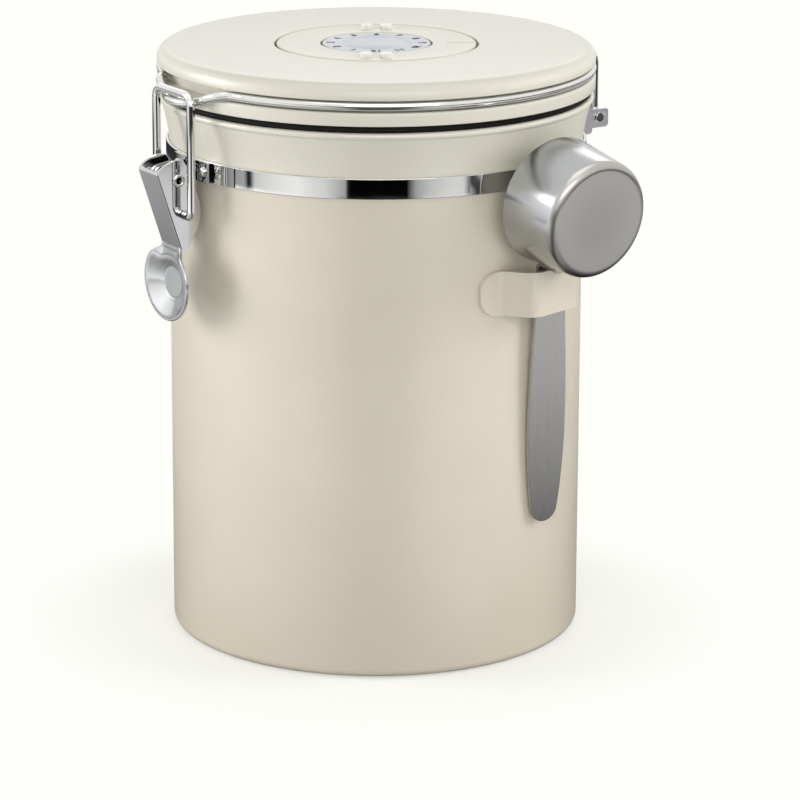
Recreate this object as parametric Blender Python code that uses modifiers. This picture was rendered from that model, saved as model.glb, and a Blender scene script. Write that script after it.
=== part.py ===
"""Clip-top storage canister with a dated lid, a wire latch and a measuring scoop.

Metres, +Z up.  The latch is on -Y, the hinge on +Y, the scoop on +X.
The origin is the middle of the base.
"""
import math

import bmesh
import bpy
from mathutils import Matrix, Vector

# Sizes used by several pieces
GAP = 0.0003
SHEET = 0.0008
ROUND_STEPS = 48
SMALL_STEPS = 16
HUB_STEPS = 32
CUP_STEPS = 40
CORNER_STEPS = 4
SMOOTH_ANGLE = math.radians(35)
WELD = 0.000001


# Scene, collections and materials
for old in list(bpy.data.objects):
    bpy.data.objects.remove(old, do_unlink=True)

part_set = bpy.data.collections.new("coffee_canister")
bpy.context.scene.collection.children.link(part_set)
tool_set = bpy.data.collections.new("cutters")
bpy.context.scene.collection.children.link(tool_set)


def finish(name, colour, roughness, metallic):
    """One plain material."""
    made = bpy.data.materials.new(name)
    made.use_nodes = True
    shader = made.node_tree.nodes["Principled BSDF"]
    shader.inputs["Base Color"].default_value = (*colour, 1.0)
    shader.inputs["Roughness"].default_value = roughness
    shader.inputs["Metallic"].default_value = metallic
    return made


ENAMEL = ("enamel", (0.66, 0.64, 0.55), 0.45, 0.0)
CHROME = ("chrome", (0.78, 0.78, 0.77), 0.08, 1.0)
SATIN = ("satin_steel", (0.60, 0.59, 0.57), 0.32, 1.0)
RUBBER = ("rubber", (0.02, 0.02, 0.02), 0.6, 0.0)
DIAL = ("dial_plastic", (0.62, 0.63, 0.66), 0.4, 0.0)
CLEAR = ("valve_plastic", (0.75, 0.75, 0.73), 0.4, 0.0)


# Helpers
def arc(middle_r, middle_z, radius, start, stop, steps=CORNER_STEPS):
    """Points on a circle arc in the plane of a profile, angles in degrees."""
    points = []
    for step in range(steps + 1):
        angle = math.radians(start + (stop - start) * step / steps)
        points.append((middle_r + radius * math.cos(angle), middle_z + radius * math.sin(angle)))
    return points


def link(obj, collection):
    """Put a new object in one collection only."""
    for other in list(obj.users_collection):
        other.objects.unlink(obj)
    collection.objects.link(obj)
    return obj


def as_piece(obj, name, look, parent=None):
    """Name a finished piece, give it its own material and hang it on its axis."""
    place = obj.location.copy()
    obj = smooth(frozen(obj))
    obj.data.transform(Matrix.Translation(-place))
    obj.location = place
    obj.name = name
    obj.data.name = name
    colour_name, colour, roughness, metallic = look
    obj.data.materials.clear()
    obj.data.materials.append(finish(name + "_" + colour_name, colour, roughness, metallic))
    link(obj, part_set)
    if parent is not None:
        obj.parent = parent
        obj.location = obj.location - parent.location
    return obj


def as_tool(obj):
    """Keep a cutter or an added body out of sight."""
    link(obj, tool_set)
    obj.hide_render = True
    obj.display_type = "WIRE"
    return obj


def smooth(obj):
    """Shade a round piece smooth with sharp edges kept."""
    obj.data.shade_smooth()
    obj.data.set_sharp_from_angle(angle=SMOOTH_ANGLE)
    return obj


def turned(profile, steps=ROUND_STEPS, closed=False):
    """Turn a profile of (radius, height) points about the object's Z axis."""
    mesh = bpy.data.meshes.new("turned")
    edges = [(i, i + 1) for i in range(len(profile) - 1)]
    if closed:
        edges.append((len(profile) - 1, 0))
    mesh.from_pydata([(r, 0.0, z) for r, z in profile], edges, [])
    obj = bpy.data.objects.new("turned", mesh)
    tool_set.objects.link(obj)
    screw = obj.modifiers.new("Turn", "SCREW")
    screw.axis = "Z"
    screw.angle = math.tau
    screw.steps = steps
    screw.render_steps = steps
    screw.use_merge_vertices = True
    screw.merge_threshold = 0.00001
    screw.use_smooth_shade = True
    return obj


def frozen(obj):
    """The evaluated shape of an object as a plain mesh in world place."""
    bpy.context.view_layer.update()
    graph = bpy.context.evaluated_depsgraph_get()
    mesh = bpy.data.meshes.new_from_object(obj.evaluated_get(graph))
    mesh.transform(obj.matrix_world)
    work = bmesh.new()
    work.from_mesh(mesh)
    bmesh.ops.remove_doubles(work, verts=work.verts, dist=WELD)
    bmesh.ops.recalc_face_normals(work, faces=work.faces)
    work.to_mesh(mesh)
    work.free()
    bpy.data.objects.remove(obj, do_unlink=True)
    made = bpy.data.objects.new("frozen", mesh)
    tool_set.objects.link(made)
    return made


def bar(points, radius, sides=2):
    """A wire of round section along a chain of points, ends closed."""
    curve = bpy.data.curves.new("bar", "CURVE")
    curve.dimensions = "3D"
    curve.bevel_depth = radius
    curve.bevel_resolution = sides
    curve.use_fill_caps = True
    chain = curve.splines.new("POLY")
    chain.points.add(len(points) - 1)
    for spot, point in zip(chain.points, points):
        spot.co = (*point, 1.0)
    obj = bpy.data.objects.new("bar", curve)
    tool_set.objects.link(obj)
    return frozen(obj)


def sheet(outline, thickness, place, holes=()):
    """A flat outline of given thickness, put in place by a matrix."""
    curve = bpy.data.curves.new("sheet", "CURVE")
    curve.dimensions = "2D"
    curve.fill_mode = "BOTH"
    curve.extrude = thickness / 2
    for loop in (outline, *holes):
        chain = curve.splines.new("POLY")
        chain.points.add(len(loop) - 1)
        for spot, (u, v) in zip(chain.points, loop):
            spot.co = (u, v, 0.0, 1.0)
        chain.use_cyclic_u = True
    obj = bpy.data.objects.new("sheet", curve)
    tool_set.objects.link(obj)
    obj.matrix_world = place
    return frozen(obj)


def join(target, other, kind="UNION"):
    """Add, cut or intersect with another body."""
    step = target.modifiers.new(kind.title(), "BOOLEAN")
    step.operation = kind
    step.solver = "EXACT"
    step.object = as_tool(other)
    return target


def bevel(obj, width, segments=2, angle=50):
    """Soften the edges of a piece."""
    step = obj.modifiers.new("Edges", "BEVEL")
    step.width = width
    step.segments = segments
    step.limit_method = "ANGLE"
    step.angle_limit = math.radians(angle)
    step.use_clamp_overlap = True
    return obj


def facing(side, across=0.0):
    """Matrix for an outline drawn as (distance out, height) on the front or the back."""
    out = Vector((0.0, side, 0.0))
    up = Vector((0.0, 0.0, 1.0))
    width = out.cross(up)
    turn = Matrix((out, up, width)).transposed().to_4x4()
    return Matrix.Translation((across, 0.0, 0.0)) @ turn


def looking(azimuth, offset):
    """Matrix for an outline drawn as (sideways, height) on a plane facing an azimuth."""
    out = Vector((math.sin(azimuth), -math.cos(azimuth), 0.0))
    up = Vector((0.0, 0.0, 1.0))
    side = up.cross(out)
    turn = Matrix((side, up, out)).transposed().to_4x4()
    return Matrix.Translation(out * offset) @ turn


def along_x(obj, across, side, out, height):
    """Lay a turned body with its axis along X at a point on the front or the back."""
    obj.rotation_euler = (0.0, math.pi / 2, 0.0)
    obj.location = (across, side * out, height)
    return obj


def outward(obj, azimuth, across, out, height):
    """Lay a turned body with its axis pointing out from the canister's wall."""
    direction = Vector((math.sin(azimuth), -math.cos(azimuth), 0.0))
    side = Vector((math.cos(azimuth), math.sin(azimuth), 0.0))
    obj.rotation_euler = direction.to_track_quat("Z", "Y").to_euler()
    obj.location = direction * out + side * across + Vector((0.0, 0.0, height))
    return obj


def curved_plate(inner, outer, half_width, low, high, azimuth, steps=16):
    """A plate bent round the canister, drawn in plan and stood up."""
    reach = math.degrees(math.asin(half_width / outer))
    outside = arc(0.0, 0.0, outer, -reach, reach, steps)
    inside = arc(0.0, 0.0, inner, reach, -reach, steps)
    turn = Matrix.Rotation(azimuth - math.pi / 2, 4, "Z")
    return sheet(outside + inside, high - low, Matrix.Translation((0.0, 0.0, (low + high) / 2)) @ turn)


def pin_cutter(radius, length):
    """A plain round bar about Z for cutting a hole."""
    half = length / 2
    return turned([(0.0, half), (radius, half), (radius, -half), (0.0, -half)], SMALL_STEPS)


def axis_empty(name, place):
    """An empty on a joint's axis."""
    empty = bpy.data.objects.new(name, None)
    empty.location = place
    part_set.objects.link(empty)
    return empty


FRONT = -1.0
BACK = 1.0
FRONT_AZIMUTH = 0.0
BACK_AZIMUTH = math.pi

# Canister body: a drawn sheet vessel with a flared neck and a rolled rim
BODY_RADIUS = 0.0600
BODY_FOOT_ROUND = 0.0025
BODY_FLOOR = 0.0010
RIM_TOP = 0.1588
RIM_ROLL = 0.0021
RIM_REACH = 0.0029
MOUTH_REACH = 0.0009
FLARE_LAND = 0.0004
FLARE_RISE = 0.0098
FLARE_OUT = 0.0020
FOOT_RING_IN = 0.0080
FOOT_RING_WIDTH = 0.0060
FOOT_RING_DEPTH = 0.0005
FOOT_RING_SLOPE = 0.0010
flare_height_shares = (0.10, 0.41, 0.71, 1.00)
flare_reach_shares = (0.08, 0.35, 0.70, 1.00)

body_inside = BODY_RADIUS - SHEET
mouth_radius = BODY_RADIUS + MOUTH_REACH
rim_round = RIM_ROLL / 2
rim_middle = BODY_RADIUS + RIM_REACH - rim_round
flare_high = RIM_TOP - RIM_ROLL - FLARE_LAND
flare_low = flare_high - FLARE_RISE
foot_ring_outer = BODY_RADIUS - FOOT_RING_IN
foot_ring_inner = foot_ring_outer - FOOT_RING_WIDTH
flare_outer = []
for up_share, out_share in zip(flare_height_shares, flare_reach_shares):
    flare_outer.append((BODY_RADIUS + FLARE_OUT * out_share, flare_low + FLARE_RISE * up_share))
flare_inner = [(r - SHEET, z) for r, z in flare_outer]

body_profile = [(0.0, BODY_FLOOR)]
body_profile += arc(body_inside - BODY_FOOT_ROUND, BODY_FLOOR + BODY_FOOT_ROUND, BODY_FOOT_ROUND, -90, 0, 3)
body_profile += [(body_inside, flare_low)] + flare_inner[:-1]
body_profile += [(mouth_radius, flare_high)]
body_profile += arc(mouth_radius + rim_round, RIM_TOP - rim_round, rim_round, 180, 90, 2)
body_profile += arc(rim_middle, RIM_TOP - rim_round, rim_round, 90, -60, 5)
body_profile += flare_outer[::-1]
body_profile += [(BODY_RADIUS, flare_low)]
body_profile += arc(BODY_RADIUS - BODY_FOOT_ROUND, BODY_FOOT_ROUND, BODY_FOOT_ROUND, 0, -90, 3)
body_profile += [
    (foot_ring_outer, 0.0),
    (foot_ring_outer - FOOT_RING_SLOPE, FOOT_RING_DEPTH),
    (foot_ring_inner + FOOT_RING_SLOPE, FOOT_RING_DEPTH),
    (foot_ring_inner, 0.0),
    (0.0, 0.0),
]
as_piece(turned(body_profile), "canister_body", ENAMEL)

# Neck band: a bright strip round the neck that carries latch and hinge
BAND_SHEET = 0.0006
BAND_DROP = 0.01315
BAND_WIDTH = 0.00575
BAND_EDGE = 0.0002
BAND_INNER = BODY_RADIUS + GAP
BAND_OUTER = BAND_INNER + BAND_SHEET
BAND_HIGH = RIM_TOP - BAND_DROP
BAND_LOW = BAND_HIGH - BAND_WIDTH
band_profile = [
    (BAND_INNER, BAND_HIGH),
    (BAND_OUTER - BAND_EDGE, BAND_HIGH),
    (BAND_OUTER, BAND_HIGH - BAND_EDGE),
    (BAND_OUTER, BAND_LOW + BAND_EDGE),
    (BAND_OUTER - BAND_EDGE, BAND_LOW),
    (BAND_INNER, BAND_LOW),
]
as_piece(turned(band_profile, closed=True), "neck_band", CHROME)

# Rivets: a domed head outside and a shank through the plate
RIVET_HEAD_RADIUS = 0.0014
RIVET_HEAD_TALL = 0.0008
RIVET_SHANK_RADIUS = 0.0010
PLATE_SHEET = 0.0010
PLATE_INNER = BAND_OUTER + GAP
PLATE_OUTER = PLATE_INNER + PLATE_SHEET
rivet_dome_shares = ((0.0, 1.0), (0.40, 0.94), (0.72, 0.72), (0.92, 0.40), (1.0, 0.0))
rivet_hole = RIVET_SHANK_RADIUS + GAP


def plate_reach(radius, across):
    """How far out a round plate lies at a sideways offset."""
    return math.sqrt(radius * radius - across * across)


def rivet(name, azimuth, across, height):
    """One domed rivet standing in its plate."""
    seat = plate_reach(PLATE_OUTER, abs(across) - RIVET_HEAD_RADIUS) + GAP
    foot = plate_reach(PLATE_INNER, across) - seat
    profile = [(RIVET_HEAD_RADIUS * r, RIVET_HEAD_TALL * z) for r, z in rivet_dome_shares]
    profile += [(RIVET_SHANK_RADIUS, 0.0), (RIVET_SHANK_RADIUS, foot), (0.0, foot)]
    body = outward(turned(profile, SMALL_STEPS), azimuth, across, seat, height)
    return as_piece(body, name, CHROME)


def drill_outward(target, azimuth, radius, across, height):
    """A hole straight through a plate on the wall."""
    cutter = pin_cutter(radius, PLATE_OUTER)
    return join(target, outward(cutter, azimuth, across, PLATE_OUTER, height), "DIFFERENCE")


# Latch bracket: a bent plate with two ears for the lever's pivot
LATCH_PLATE_HALF = 0.0099
LATCH_EAR_INNER = 0.0031
LATCH_EAR_SHEET = 0.0012
LATCH_EAR_ROUND = 0.0027
LATCH_EAR_DROP = 0.0009
EAR_SUNK = 0.0005
PIVOT_REACH = 0.0066
PIVOT_RISE = 0.0009
LATCH_RIVET_ACROSS = 0.0072
RIVET_RISE = 0.0029
PIN_RADIUS = 0.0010
PIVOT_OUT = PLATE_OUTER + PIVOT_REACH
PIVOT_HEIGHT = BAND_LOW + PIVOT_RISE
RIVET_HEIGHT = BAND_LOW + RIVET_RISE
EAR_ROOT = PLATE_OUTER - EAR_SUNK

latch_bracket = curved_plate(PLATE_INNER, PLATE_OUTER, LATCH_PLATE_HALF, BAND_LOW, BAND_HIGH, FRONT_AZIMUTH)
ear_outline = [(EAR_ROOT, BAND_HIGH - LATCH_EAR_DROP)]
ear_outline += arc(PIVOT_OUT, PIVOT_HEIGHT, LATCH_EAR_ROUND, 75, -100, 8)
ear_outline += [(EAR_ROOT, BAND_LOW + BAND_EDGE)]
ear_middle = LATCH_EAR_INNER + LATCH_EAR_SHEET / 2
for side in (-1, 1):
    ear = sheet(ear_outline, LATCH_EAR_SHEET, facing(FRONT, side * ear_middle))
    join(latch_bracket, ear)
pivot_hole = PIN_RADIUS + GAP
join(latch_bracket, along_x(pin_cutter(pivot_hole, PIVOT_OUT / 4), 0.0, FRONT, PIVOT_OUT, PIVOT_HEIGHT),
     "DIFFERENCE")
for side in (-1, 1):
    drill_outward(latch_bracket, FRONT_AZIMUTH, rivet_hole, side * LATCH_RIVET_ACROSS, RIVET_HEIGHT)
as_piece(latch_bracket, "latch_bracket", SATIN)
rivet("latch_rivet_left", FRONT_AZIMUTH, -LATCH_RIVET_ACROSS, RIVET_HEIGHT)
rivet("latch_rivet_right", FRONT_AZIMUTH, LATCH_RIVET_ACROSS, RIVET_HEIGHT)

# Latch lever: sheet folded into a channel, running down into a dished thumb tab
LEVER_HALF = 0.0055
LEVER_SHEET = 0.0009
WEB_TOP_REACH = 0.0069
WEB_TOP_RISE = 0.0022
WEB_IN = 0.0073
WEB_DROP = 0.0218
CHEEK_CROWN = 0.0059
CHEEK_TOP_IN = 0.0016
CHEEK_TOP_RISE = 0.0056
CHEEK_BULGE_IN = 0.0072
CHEEK_BULGE_DROP = 0.0083
CHEEK_FOOT_IN = 0.0020
CHEEK_FOOT_DROP = 0.0009
BAIL_RADIUS = 0.0012
BAIL_HOLE_IN = 0.0017
BAIL_HOLE_DROP = 0.0100
TAB_HALF_WIDTH = 0.0123
TAB_HALF_HEIGHT = 0.0109
TAB_DROP = 0.0108
TAB_RIM_REACH = 0.0020
TAB_DISH = 0.0024
cheek_crown_shares = ((30, 1.16), (50, 1.05), (75, 1.0))
cheek_rear_shares = ((0.06, 0.30), (0.32, 0.62), (0.66, 0.86), (1.0, 1.0))
NECK_HALF = 0.0050
NECK_DROP = 0.0054
WEB_TOP_OUT = PIVOT_OUT + WEB_TOP_REACH
WEB_TOP_HEIGHT = PIVOT_HEIGHT + WEB_TOP_RISE
WEB_FOOT_OUT = WEB_TOP_OUT - WEB_IN
WEB_FOOT_HEIGHT = WEB_TOP_HEIGHT - WEB_DROP
CHEEK_BULGE_OUT = PIVOT_OUT - CHEEK_BULGE_IN
CHEEK_BULGE_HEIGHT = PIVOT_HEIGHT - CHEEK_BULGE_DROP
BAIL_HOLE_OUT = PIVOT_OUT - BAIL_HOLE_IN
BAIL_HOLE_HEIGHT = PIVOT_HEIGHT - BAIL_HOLE_DROP
TAB_HEIGHT = WEB_FOOT_HEIGHT - TAB_DROP
TAB_RIM_OUT = WEB_FOOT_OUT + TAB_RIM_REACH
NECK_LOW = WEB_FOOT_HEIGHT - NECK_DROP
tab_dish_shares = ((0.0, 1.0), (0.35, 0.93), (0.62, 0.70), (0.82, 0.35), (0.93, 0.08), (1.0, 0.0))

lever_axis = axis_empty("lever_axis", (0.0, FRONT * PIVOT_OUT, PIVOT_HEIGHT))
cheek_outline = [(WEB_TOP_OUT, WEB_TOP_HEIGHT)]
for degrees, reach_share in cheek_crown_shares:
    cheek_outline += arc(PIVOT_OUT, PIVOT_HEIGHT, CHEEK_CROWN * reach_share, degrees, degrees, 1)[:1]
cheek_outline.append((PIVOT_OUT - CHEEK_TOP_IN, PIVOT_HEIGHT + CHEEK_TOP_RISE))
cheek_outline.append((CHEEK_BULGE_OUT, CHEEK_BULGE_HEIGHT))
cheek_out = WEB_FOOT_OUT - CHEEK_FOOT_IN - CHEEK_BULGE_OUT
cheek_down = WEB_FOOT_HEIGHT - CHEEK_FOOT_DROP - CHEEK_BULGE_HEIGHT
for out_share, down_share in cheek_rear_shares:
    cheek_outline.append((CHEEK_BULGE_OUT + cheek_out * out_share,
                          CHEEK_BULGE_HEIGHT + cheek_down * down_share))
cheek_outline.append((WEB_FOOT_OUT, WEB_FOOT_HEIGHT))
latch_lever = sheet(cheek_outline, 2 * LEVER_HALF, facing(FRONT))

web_run = Vector((-WEB_IN, -WEB_DROP)).normalized()
web_in = Vector((web_run.y, -web_run.x)) * LEVER_SHEET
web_length = math.hypot(WEB_IN, WEB_DROP)
hollow_top = Vector((WEB_TOP_OUT, WEB_TOP_HEIGHT)) + web_in - web_run * web_length
hollow_foot = Vector((WEB_FOOT_OUT, WEB_FOOT_HEIGHT)) + web_in + web_run * web_length / 2
hollow = [tuple(hollow_top), (BODY_RADIUS, hollow_top.y), (BODY_RADIUS, hollow_foot.y), tuple(hollow_foot)]
join(latch_lever, sheet(hollow, 2 * (LEVER_HALF - LEVER_SHEET), facing(FRONT)), "DIFFERENCE")

tab_front = [(TAB_HALF_WIDTH * r, -TAB_DISH * d) for r, d in tab_dish_shares]
tab_back = [(r, z - LEVER_SHEET) for r, z in tab_front[::-1]]
thumb_tab = turned(tab_front + tab_back, HUB_STEPS)
thumb_tab.scale = (1.0, TAB_HALF_HEIGHT / TAB_HALF_WIDTH, 1.0)
thumb_tab.rotation_euler = (math.pi / 2, 0.0, 0.0)
thumb_tab.location = (0.0, FRONT * TAB_RIM_OUT, TAB_HEIGHT)
thumb_tab = frozen(thumb_tab)
tab_top = TAB_HEIGHT + TAB_HALF_HEIGHT
neck_notch = [(WEB_FOOT_OUT, tab_top + TAB_DISH), (TAB_RIM_OUT + TAB_DISH, tab_top + TAB_DISH),
              (TAB_RIM_OUT + TAB_DISH, NECK_LOW + LEVER_SHEET), (WEB_FOOT_OUT, NECK_LOW)]
join(thumb_tab, sheet(neck_notch, 2 * NECK_HALF, facing(FRONT)), "DIFFERENCE")
neck_back = WEB_FOOT_OUT - LEVER_SHEET
neck = [(WEB_FOOT_OUT, WEB_FOOT_HEIGHT + LEVER_SHEET / 4), (WEB_FOOT_OUT, NECK_LOW),
        (neck_back, NECK_LOW - LEVER_SHEET / 2), (neck_back, WEB_FOOT_HEIGHT + LEVER_SHEET / 2)]
join(latch_lever, sheet(neck, 2 * NECK_HALF, facing(FRONT)))
join(latch_lever, frozen(thumb_tab))
for radius, out, height in ((pivot_hole, PIVOT_OUT, PIVOT_HEIGHT),
                            (BAIL_RADIUS + GAP, BAIL_HOLE_OUT, BAIL_HOLE_HEIGHT)):
    join(latch_lever, along_x(pin_cutter(radius, PIVOT_OUT / 2), 0.0, FRONT, out, height), "DIFFERENCE")
as_piece(latch_lever, "latch_lever", CHROME, lever_axis)

# Latch pin: a tubular rivet through both ears and both cheeks
PIN_BORE = 0.0005
PIN_FLANGE_RADIUS = 0.0019
PIN_FLANGE = 0.0005
pin_seat = LEVER_HALF + GAP
pin_end = pin_seat + PIN_FLANGE
pin_profile = [
    (PIN_BORE, pin_end), (PIN_FLANGE_RADIUS, pin_end),
    (PIN_FLANGE_RADIUS, pin_seat), (PIN_RADIUS, pin_seat),
    (PIN_RADIUS, -pin_seat), (PIN_FLANGE_RADIUS, -pin_seat),
    (PIN_FLANGE_RADIUS, -pin_end), (PIN_BORE, -pin_end),
]
latch_pin = along_x(turned(pin_profile, SMALL_STEPS, closed=True), 0.0, FRONT, PIVOT_OUT, PIVOT_HEIGHT)
as_piece(latch_pin, "latch_pin", CHROME)

# Latch bail: a wire frame hung in the lever's cheeks
BAIL_HALF = 0.0098
BAIL_RISE = 0.03445
BAIL_CORNER = 0.0030
BAIL_END_CORNER = 0.0018
BAIL_END = 0.0037

bail_axis = axis_empty("bail_axis", (0.0, FRONT * BAIL_HOLE_OUT, BAIL_HOLE_HEIGHT))
bail_top = BAIL_HOLE_HEIGHT + BAIL_RISE
half_bail = [(BAIL_END, BAIL_HOLE_HEIGHT)]
half_bail += arc(BAIL_HALF - BAIL_END_CORNER, BAIL_HOLE_HEIGHT + BAIL_END_CORNER, BAIL_END_CORNER, -90, 0)
half_bail += arc(BAIL_HALF - BAIL_CORNER, bail_top - BAIL_CORNER, BAIL_CORNER, 0, 90, 6)
bail_path = [(t, FRONT * BAIL_HOLE_OUT, z) for t, z in half_bail]
bail_path += [(-t, y, z) for t, y, z in bail_path[::-1]]
as_piece(bar(bail_path, BAIL_RADIUS, 3), "latch_bail", CHROME, bail_axis)

# Hinge bracket: a bent plate with two ears behind, each with a narrower lug
HINGE_PLATE_HALF = 0.0142
HINGE_RISE = 0.0058
HINGE_ABOVE = 0.0037
HINGE_BELOW = 0.0050
HINGE_EAR_INNER = 0.0117
HINGE_EAR_SHEET = 0.0012
HINGE_REACH = 0.0075
HINGE_SHOULDER = 0.0052
SHOULDER_ROUND = 0.0012
LUG_PAST = 0.0034
LUG_ABOVE = 0.0025
LUG_BELOW = 0.0031
LUG_ROUND = 0.0012
HINGE_RIVET_ACROSS = 0.0052
LID_WIRE_RADIUS = 0.0013
HINGE_OUT = PLATE_OUTER + HINGE_REACH
HINGE_HEIGHT = BAND_LOW + HINGE_RISE

hinge_low = HINGE_HEIGHT - HINGE_BELOW
hinge_high = HINGE_HEIGHT + HINGE_ABOVE
hinge_bracket = curved_plate(PLATE_INNER, PLATE_OUTER, HINGE_PLATE_HALF, hinge_low, hinge_high, BACK_AZIMUTH)
shoulder_middle = PLATE_OUTER + HINGE_SHOULDER - SHOULDER_ROUND
lug_middle = HINGE_OUT + LUG_PAST - LUG_ROUND
lug_root = plate_reach(PLATE_OUTER, HINGE_EAR_INNER + HINGE_EAR_SHEET) - EAR_SUNK
lug_outline = [(lug_root, hinge_high - BAND_EDGE)]
lug_outline += arc(shoulder_middle, hinge_high - BAND_EDGE - SHOULDER_ROUND, SHOULDER_ROUND, 90, 0, 3)
lug_outline += [(PLATE_OUTER + HINGE_SHOULDER, HINGE_HEIGHT + LUG_ABOVE)]
lug_outline += arc(lug_middle, HINGE_HEIGHT + LUG_ABOVE - LUG_ROUND, LUG_ROUND, 90, 0, 3)
lug_outline += arc(lug_middle, HINGE_HEIGHT - LUG_BELOW + LUG_ROUND, LUG_ROUND, 0, -90, 3)
lug_outline += [(PLATE_OUTER + HINGE_SHOULDER, HINGE_HEIGHT - LUG_BELOW)]
lug_outline += arc(shoulder_middle, hinge_low + BAND_EDGE + SHOULDER_ROUND, SHOULDER_ROUND, 0, -90, 3)
lug_outline += [(lug_root, hinge_low + BAND_EDGE)]
hinge_ear_middle = HINGE_EAR_INNER + HINGE_EAR_SHEET / 2
for side in (-1, 1):
    join(hinge_bracket, sheet(lug_outline, HINGE_EAR_SHEET, facing(BACK, side * hinge_ear_middle)))
hinge_hole = LID_WIRE_RADIUS + GAP
join(hinge_bracket, along_x(pin_cutter(hinge_hole, HINGE_OUT / 2), 0.0, BACK, HINGE_OUT, HINGE_HEIGHT),
     "DIFFERENCE")
for side in (-1, 1):
    drill_outward(hinge_bracket, BACK_AZIMUTH, rivet_hole, side * HINGE_RIVET_ACROSS, RIVET_HEIGHT)
as_piece(hinge_bracket, "hinge_bracket", SATIN)
rivet("hinge_rivet_left", BACK_AZIMUTH, -HINGE_RIVET_ACROSS, RIVET_HEIGHT)
rivet("hinge_rivet_right", BACK_AZIMUTH, HINGE_RIVET_ACROSS, RIVET_HEIGHT)

# Lid pan: the pressed underside with a plug, a flange and the wire's groove
GASKET_SPACE = 0.0023
PLUG_IN = 0.0049
PLUG_DEPTH = 0.0046
PLUG_ROUND = 0.0018
FLANGE_PAST = 0.0004
FLANGE_TALL = 0.0035
FLANGE_EDGE = 0.0006
GROOVE_DEPTH = 0.0027
GROOVE_TALL = 0.0033
PAN_RISE = 0.0030
VALVE_HOLE = 0.0113
PLUG_RADIUS = mouth_radius - PLUG_IN
FLANGE_RADIUS = BODY_RADIUS + RIM_REACH + FLANGE_PAST
GROOVE_WALL = FLANGE_RADIUS - GROOVE_DEPTH
FLANGE_LOW = RIM_TOP + GASKET_SPACE
FLANGE_HIGH = FLANGE_LOW + FLANGE_TALL
PLUG_LOW = FLANGE_LOW - PLUG_DEPTH
COVER_FOOT = FLANGE_HIGH + GROOVE_TALL
PAN_TOP = COVER_FOOT + PAN_RISE

lid_axis = axis_empty("lid_axis", (0.0, BACK * HINGE_OUT, HINGE_HEIGHT))
pan_profile = [(GROOVE_WALL, PAN_TOP), (GROOVE_WALL, FLANGE_HIGH)]
pan_profile += arc(FLANGE_RADIUS - FLANGE_EDGE, FLANGE_HIGH - FLANGE_EDGE, FLANGE_EDGE, 90, 0, 2)
pan_profile += arc(FLANGE_RADIUS - FLANGE_EDGE, FLANGE_LOW + FLANGE_EDGE, FLANGE_EDGE, 0, -90, 2)
pan_profile += [(PLUG_RADIUS, FLANGE_LOW)]
pan_profile += arc(PLUG_RADIUS - PLUG_ROUND, PLUG_LOW + PLUG_ROUND, PLUG_ROUND, 0, -90, 3)
pan_profile += [(VALVE_HOLE, PLUG_LOW), (VALVE_HOLE, PLUG_LOW + SHEET)]
pan_profile += arc(PLUG_RADIUS - PLUG_ROUND, PLUG_LOW + PLUG_ROUND, PLUG_ROUND - SHEET, -90, 0, 2)
pan_profile += [
    (PLUG_RADIUS - SHEET, FLANGE_LOW + SHEET),
    (FLANGE_RADIUS - SHEET, FLANGE_LOW + SHEET),
    (FLANGE_RADIUS - SHEET, FLANGE_HIGH - SHEET),
    (GROOVE_WALL - SHEET, FLANGE_HIGH - SHEET),
    (GROOVE_WALL - SHEET, PAN_TOP),
]
as_piece(turned(pan_profile, closed=True), "lid_pan", ENAMEL, lid_axis)

# Lid gasket: a soft ring squeezed between the rim and the pan's flange
GASKET_IN = 0.0009
GASKET_ROUND = 0.0005
GASKET_OUTER = FLANGE_RADIUS - GASKET_IN
GASKET_LOW = RIM_TOP + GAP
GASKET_HIGH = FLANGE_LOW - GAP
gasket_inner = PLUG_RADIUS + GAP
gasket_profile = [(gasket_inner, GASKET_HIGH)]
gasket_profile += arc(GASKET_OUTER - GASKET_ROUND, GASKET_HIGH - GASKET_ROUND, GASKET_ROUND, 90, 0, 2)
gasket_profile += arc(GASKET_OUTER - GASKET_ROUND, GASKET_LOW + GASKET_ROUND, GASKET_ROUND, 0, -90, 2)
gasket_profile += [(gasket_inner, GASKET_LOW)]
as_piece(turned(gasket_profile, closed=True), "lid_gasket", RUBBER, lid_axis)

# Lid cover: the outer cap, hemmed at its foot, with a sunk well for the dial
COVER_RISE = 0.0049
COVER_ROUND = 0.0036
COVER_FALL = 0.0003
COVER_SHEET = 0.0010
HEM_WIDTH = 0.0021
WELL_RADIUS = 0.0294
WELL_DEPTH = 0.0026
WELL_LIP = 0.0008
COVER_TOP = COVER_FOOT + COVER_RISE
COVER_SHOULDER = COVER_TOP - COVER_FALL
HEM_RADIUS = FLANGE_RADIUS - HEM_WIDTH
WELL_FLOOR = COVER_TOP - WELL_DEPTH
HUB_HOLE = 0.0090
cover_inside = FLANGE_RADIUS - COVER_SHEET
cover_middle = FLANGE_RADIUS - COVER_ROUND
crown_radius = (cover_middle + WELL_RADIUS) / 2
crown_height = (COVER_TOP + COVER_SHOULDER) / 2
cover_profile = [(HUB_HOLE, WELL_FLOOR), (WELL_RADIUS, WELL_FLOOR)]
cover_profile += arc(WELL_RADIUS + WELL_LIP, COVER_TOP - WELL_LIP, WELL_LIP, 180, 90, 2)
cover_profile += [(crown_radius, crown_height)]
cover_profile += arc(cover_middle, COVER_SHOULDER - COVER_ROUND, COVER_ROUND, 90, 0, 5)
cover_profile += [
    (FLANGE_RADIUS, COVER_FOOT), (HEM_RADIUS, COVER_FOOT),
    (HEM_RADIUS, COVER_FOOT + COVER_SHEET), (cover_inside, COVER_FOOT + COVER_SHEET),
]
cover_profile += arc(cover_middle, COVER_SHOULDER - COVER_ROUND, COVER_ROUND - COVER_SHEET, 0, 90, 3)
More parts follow.
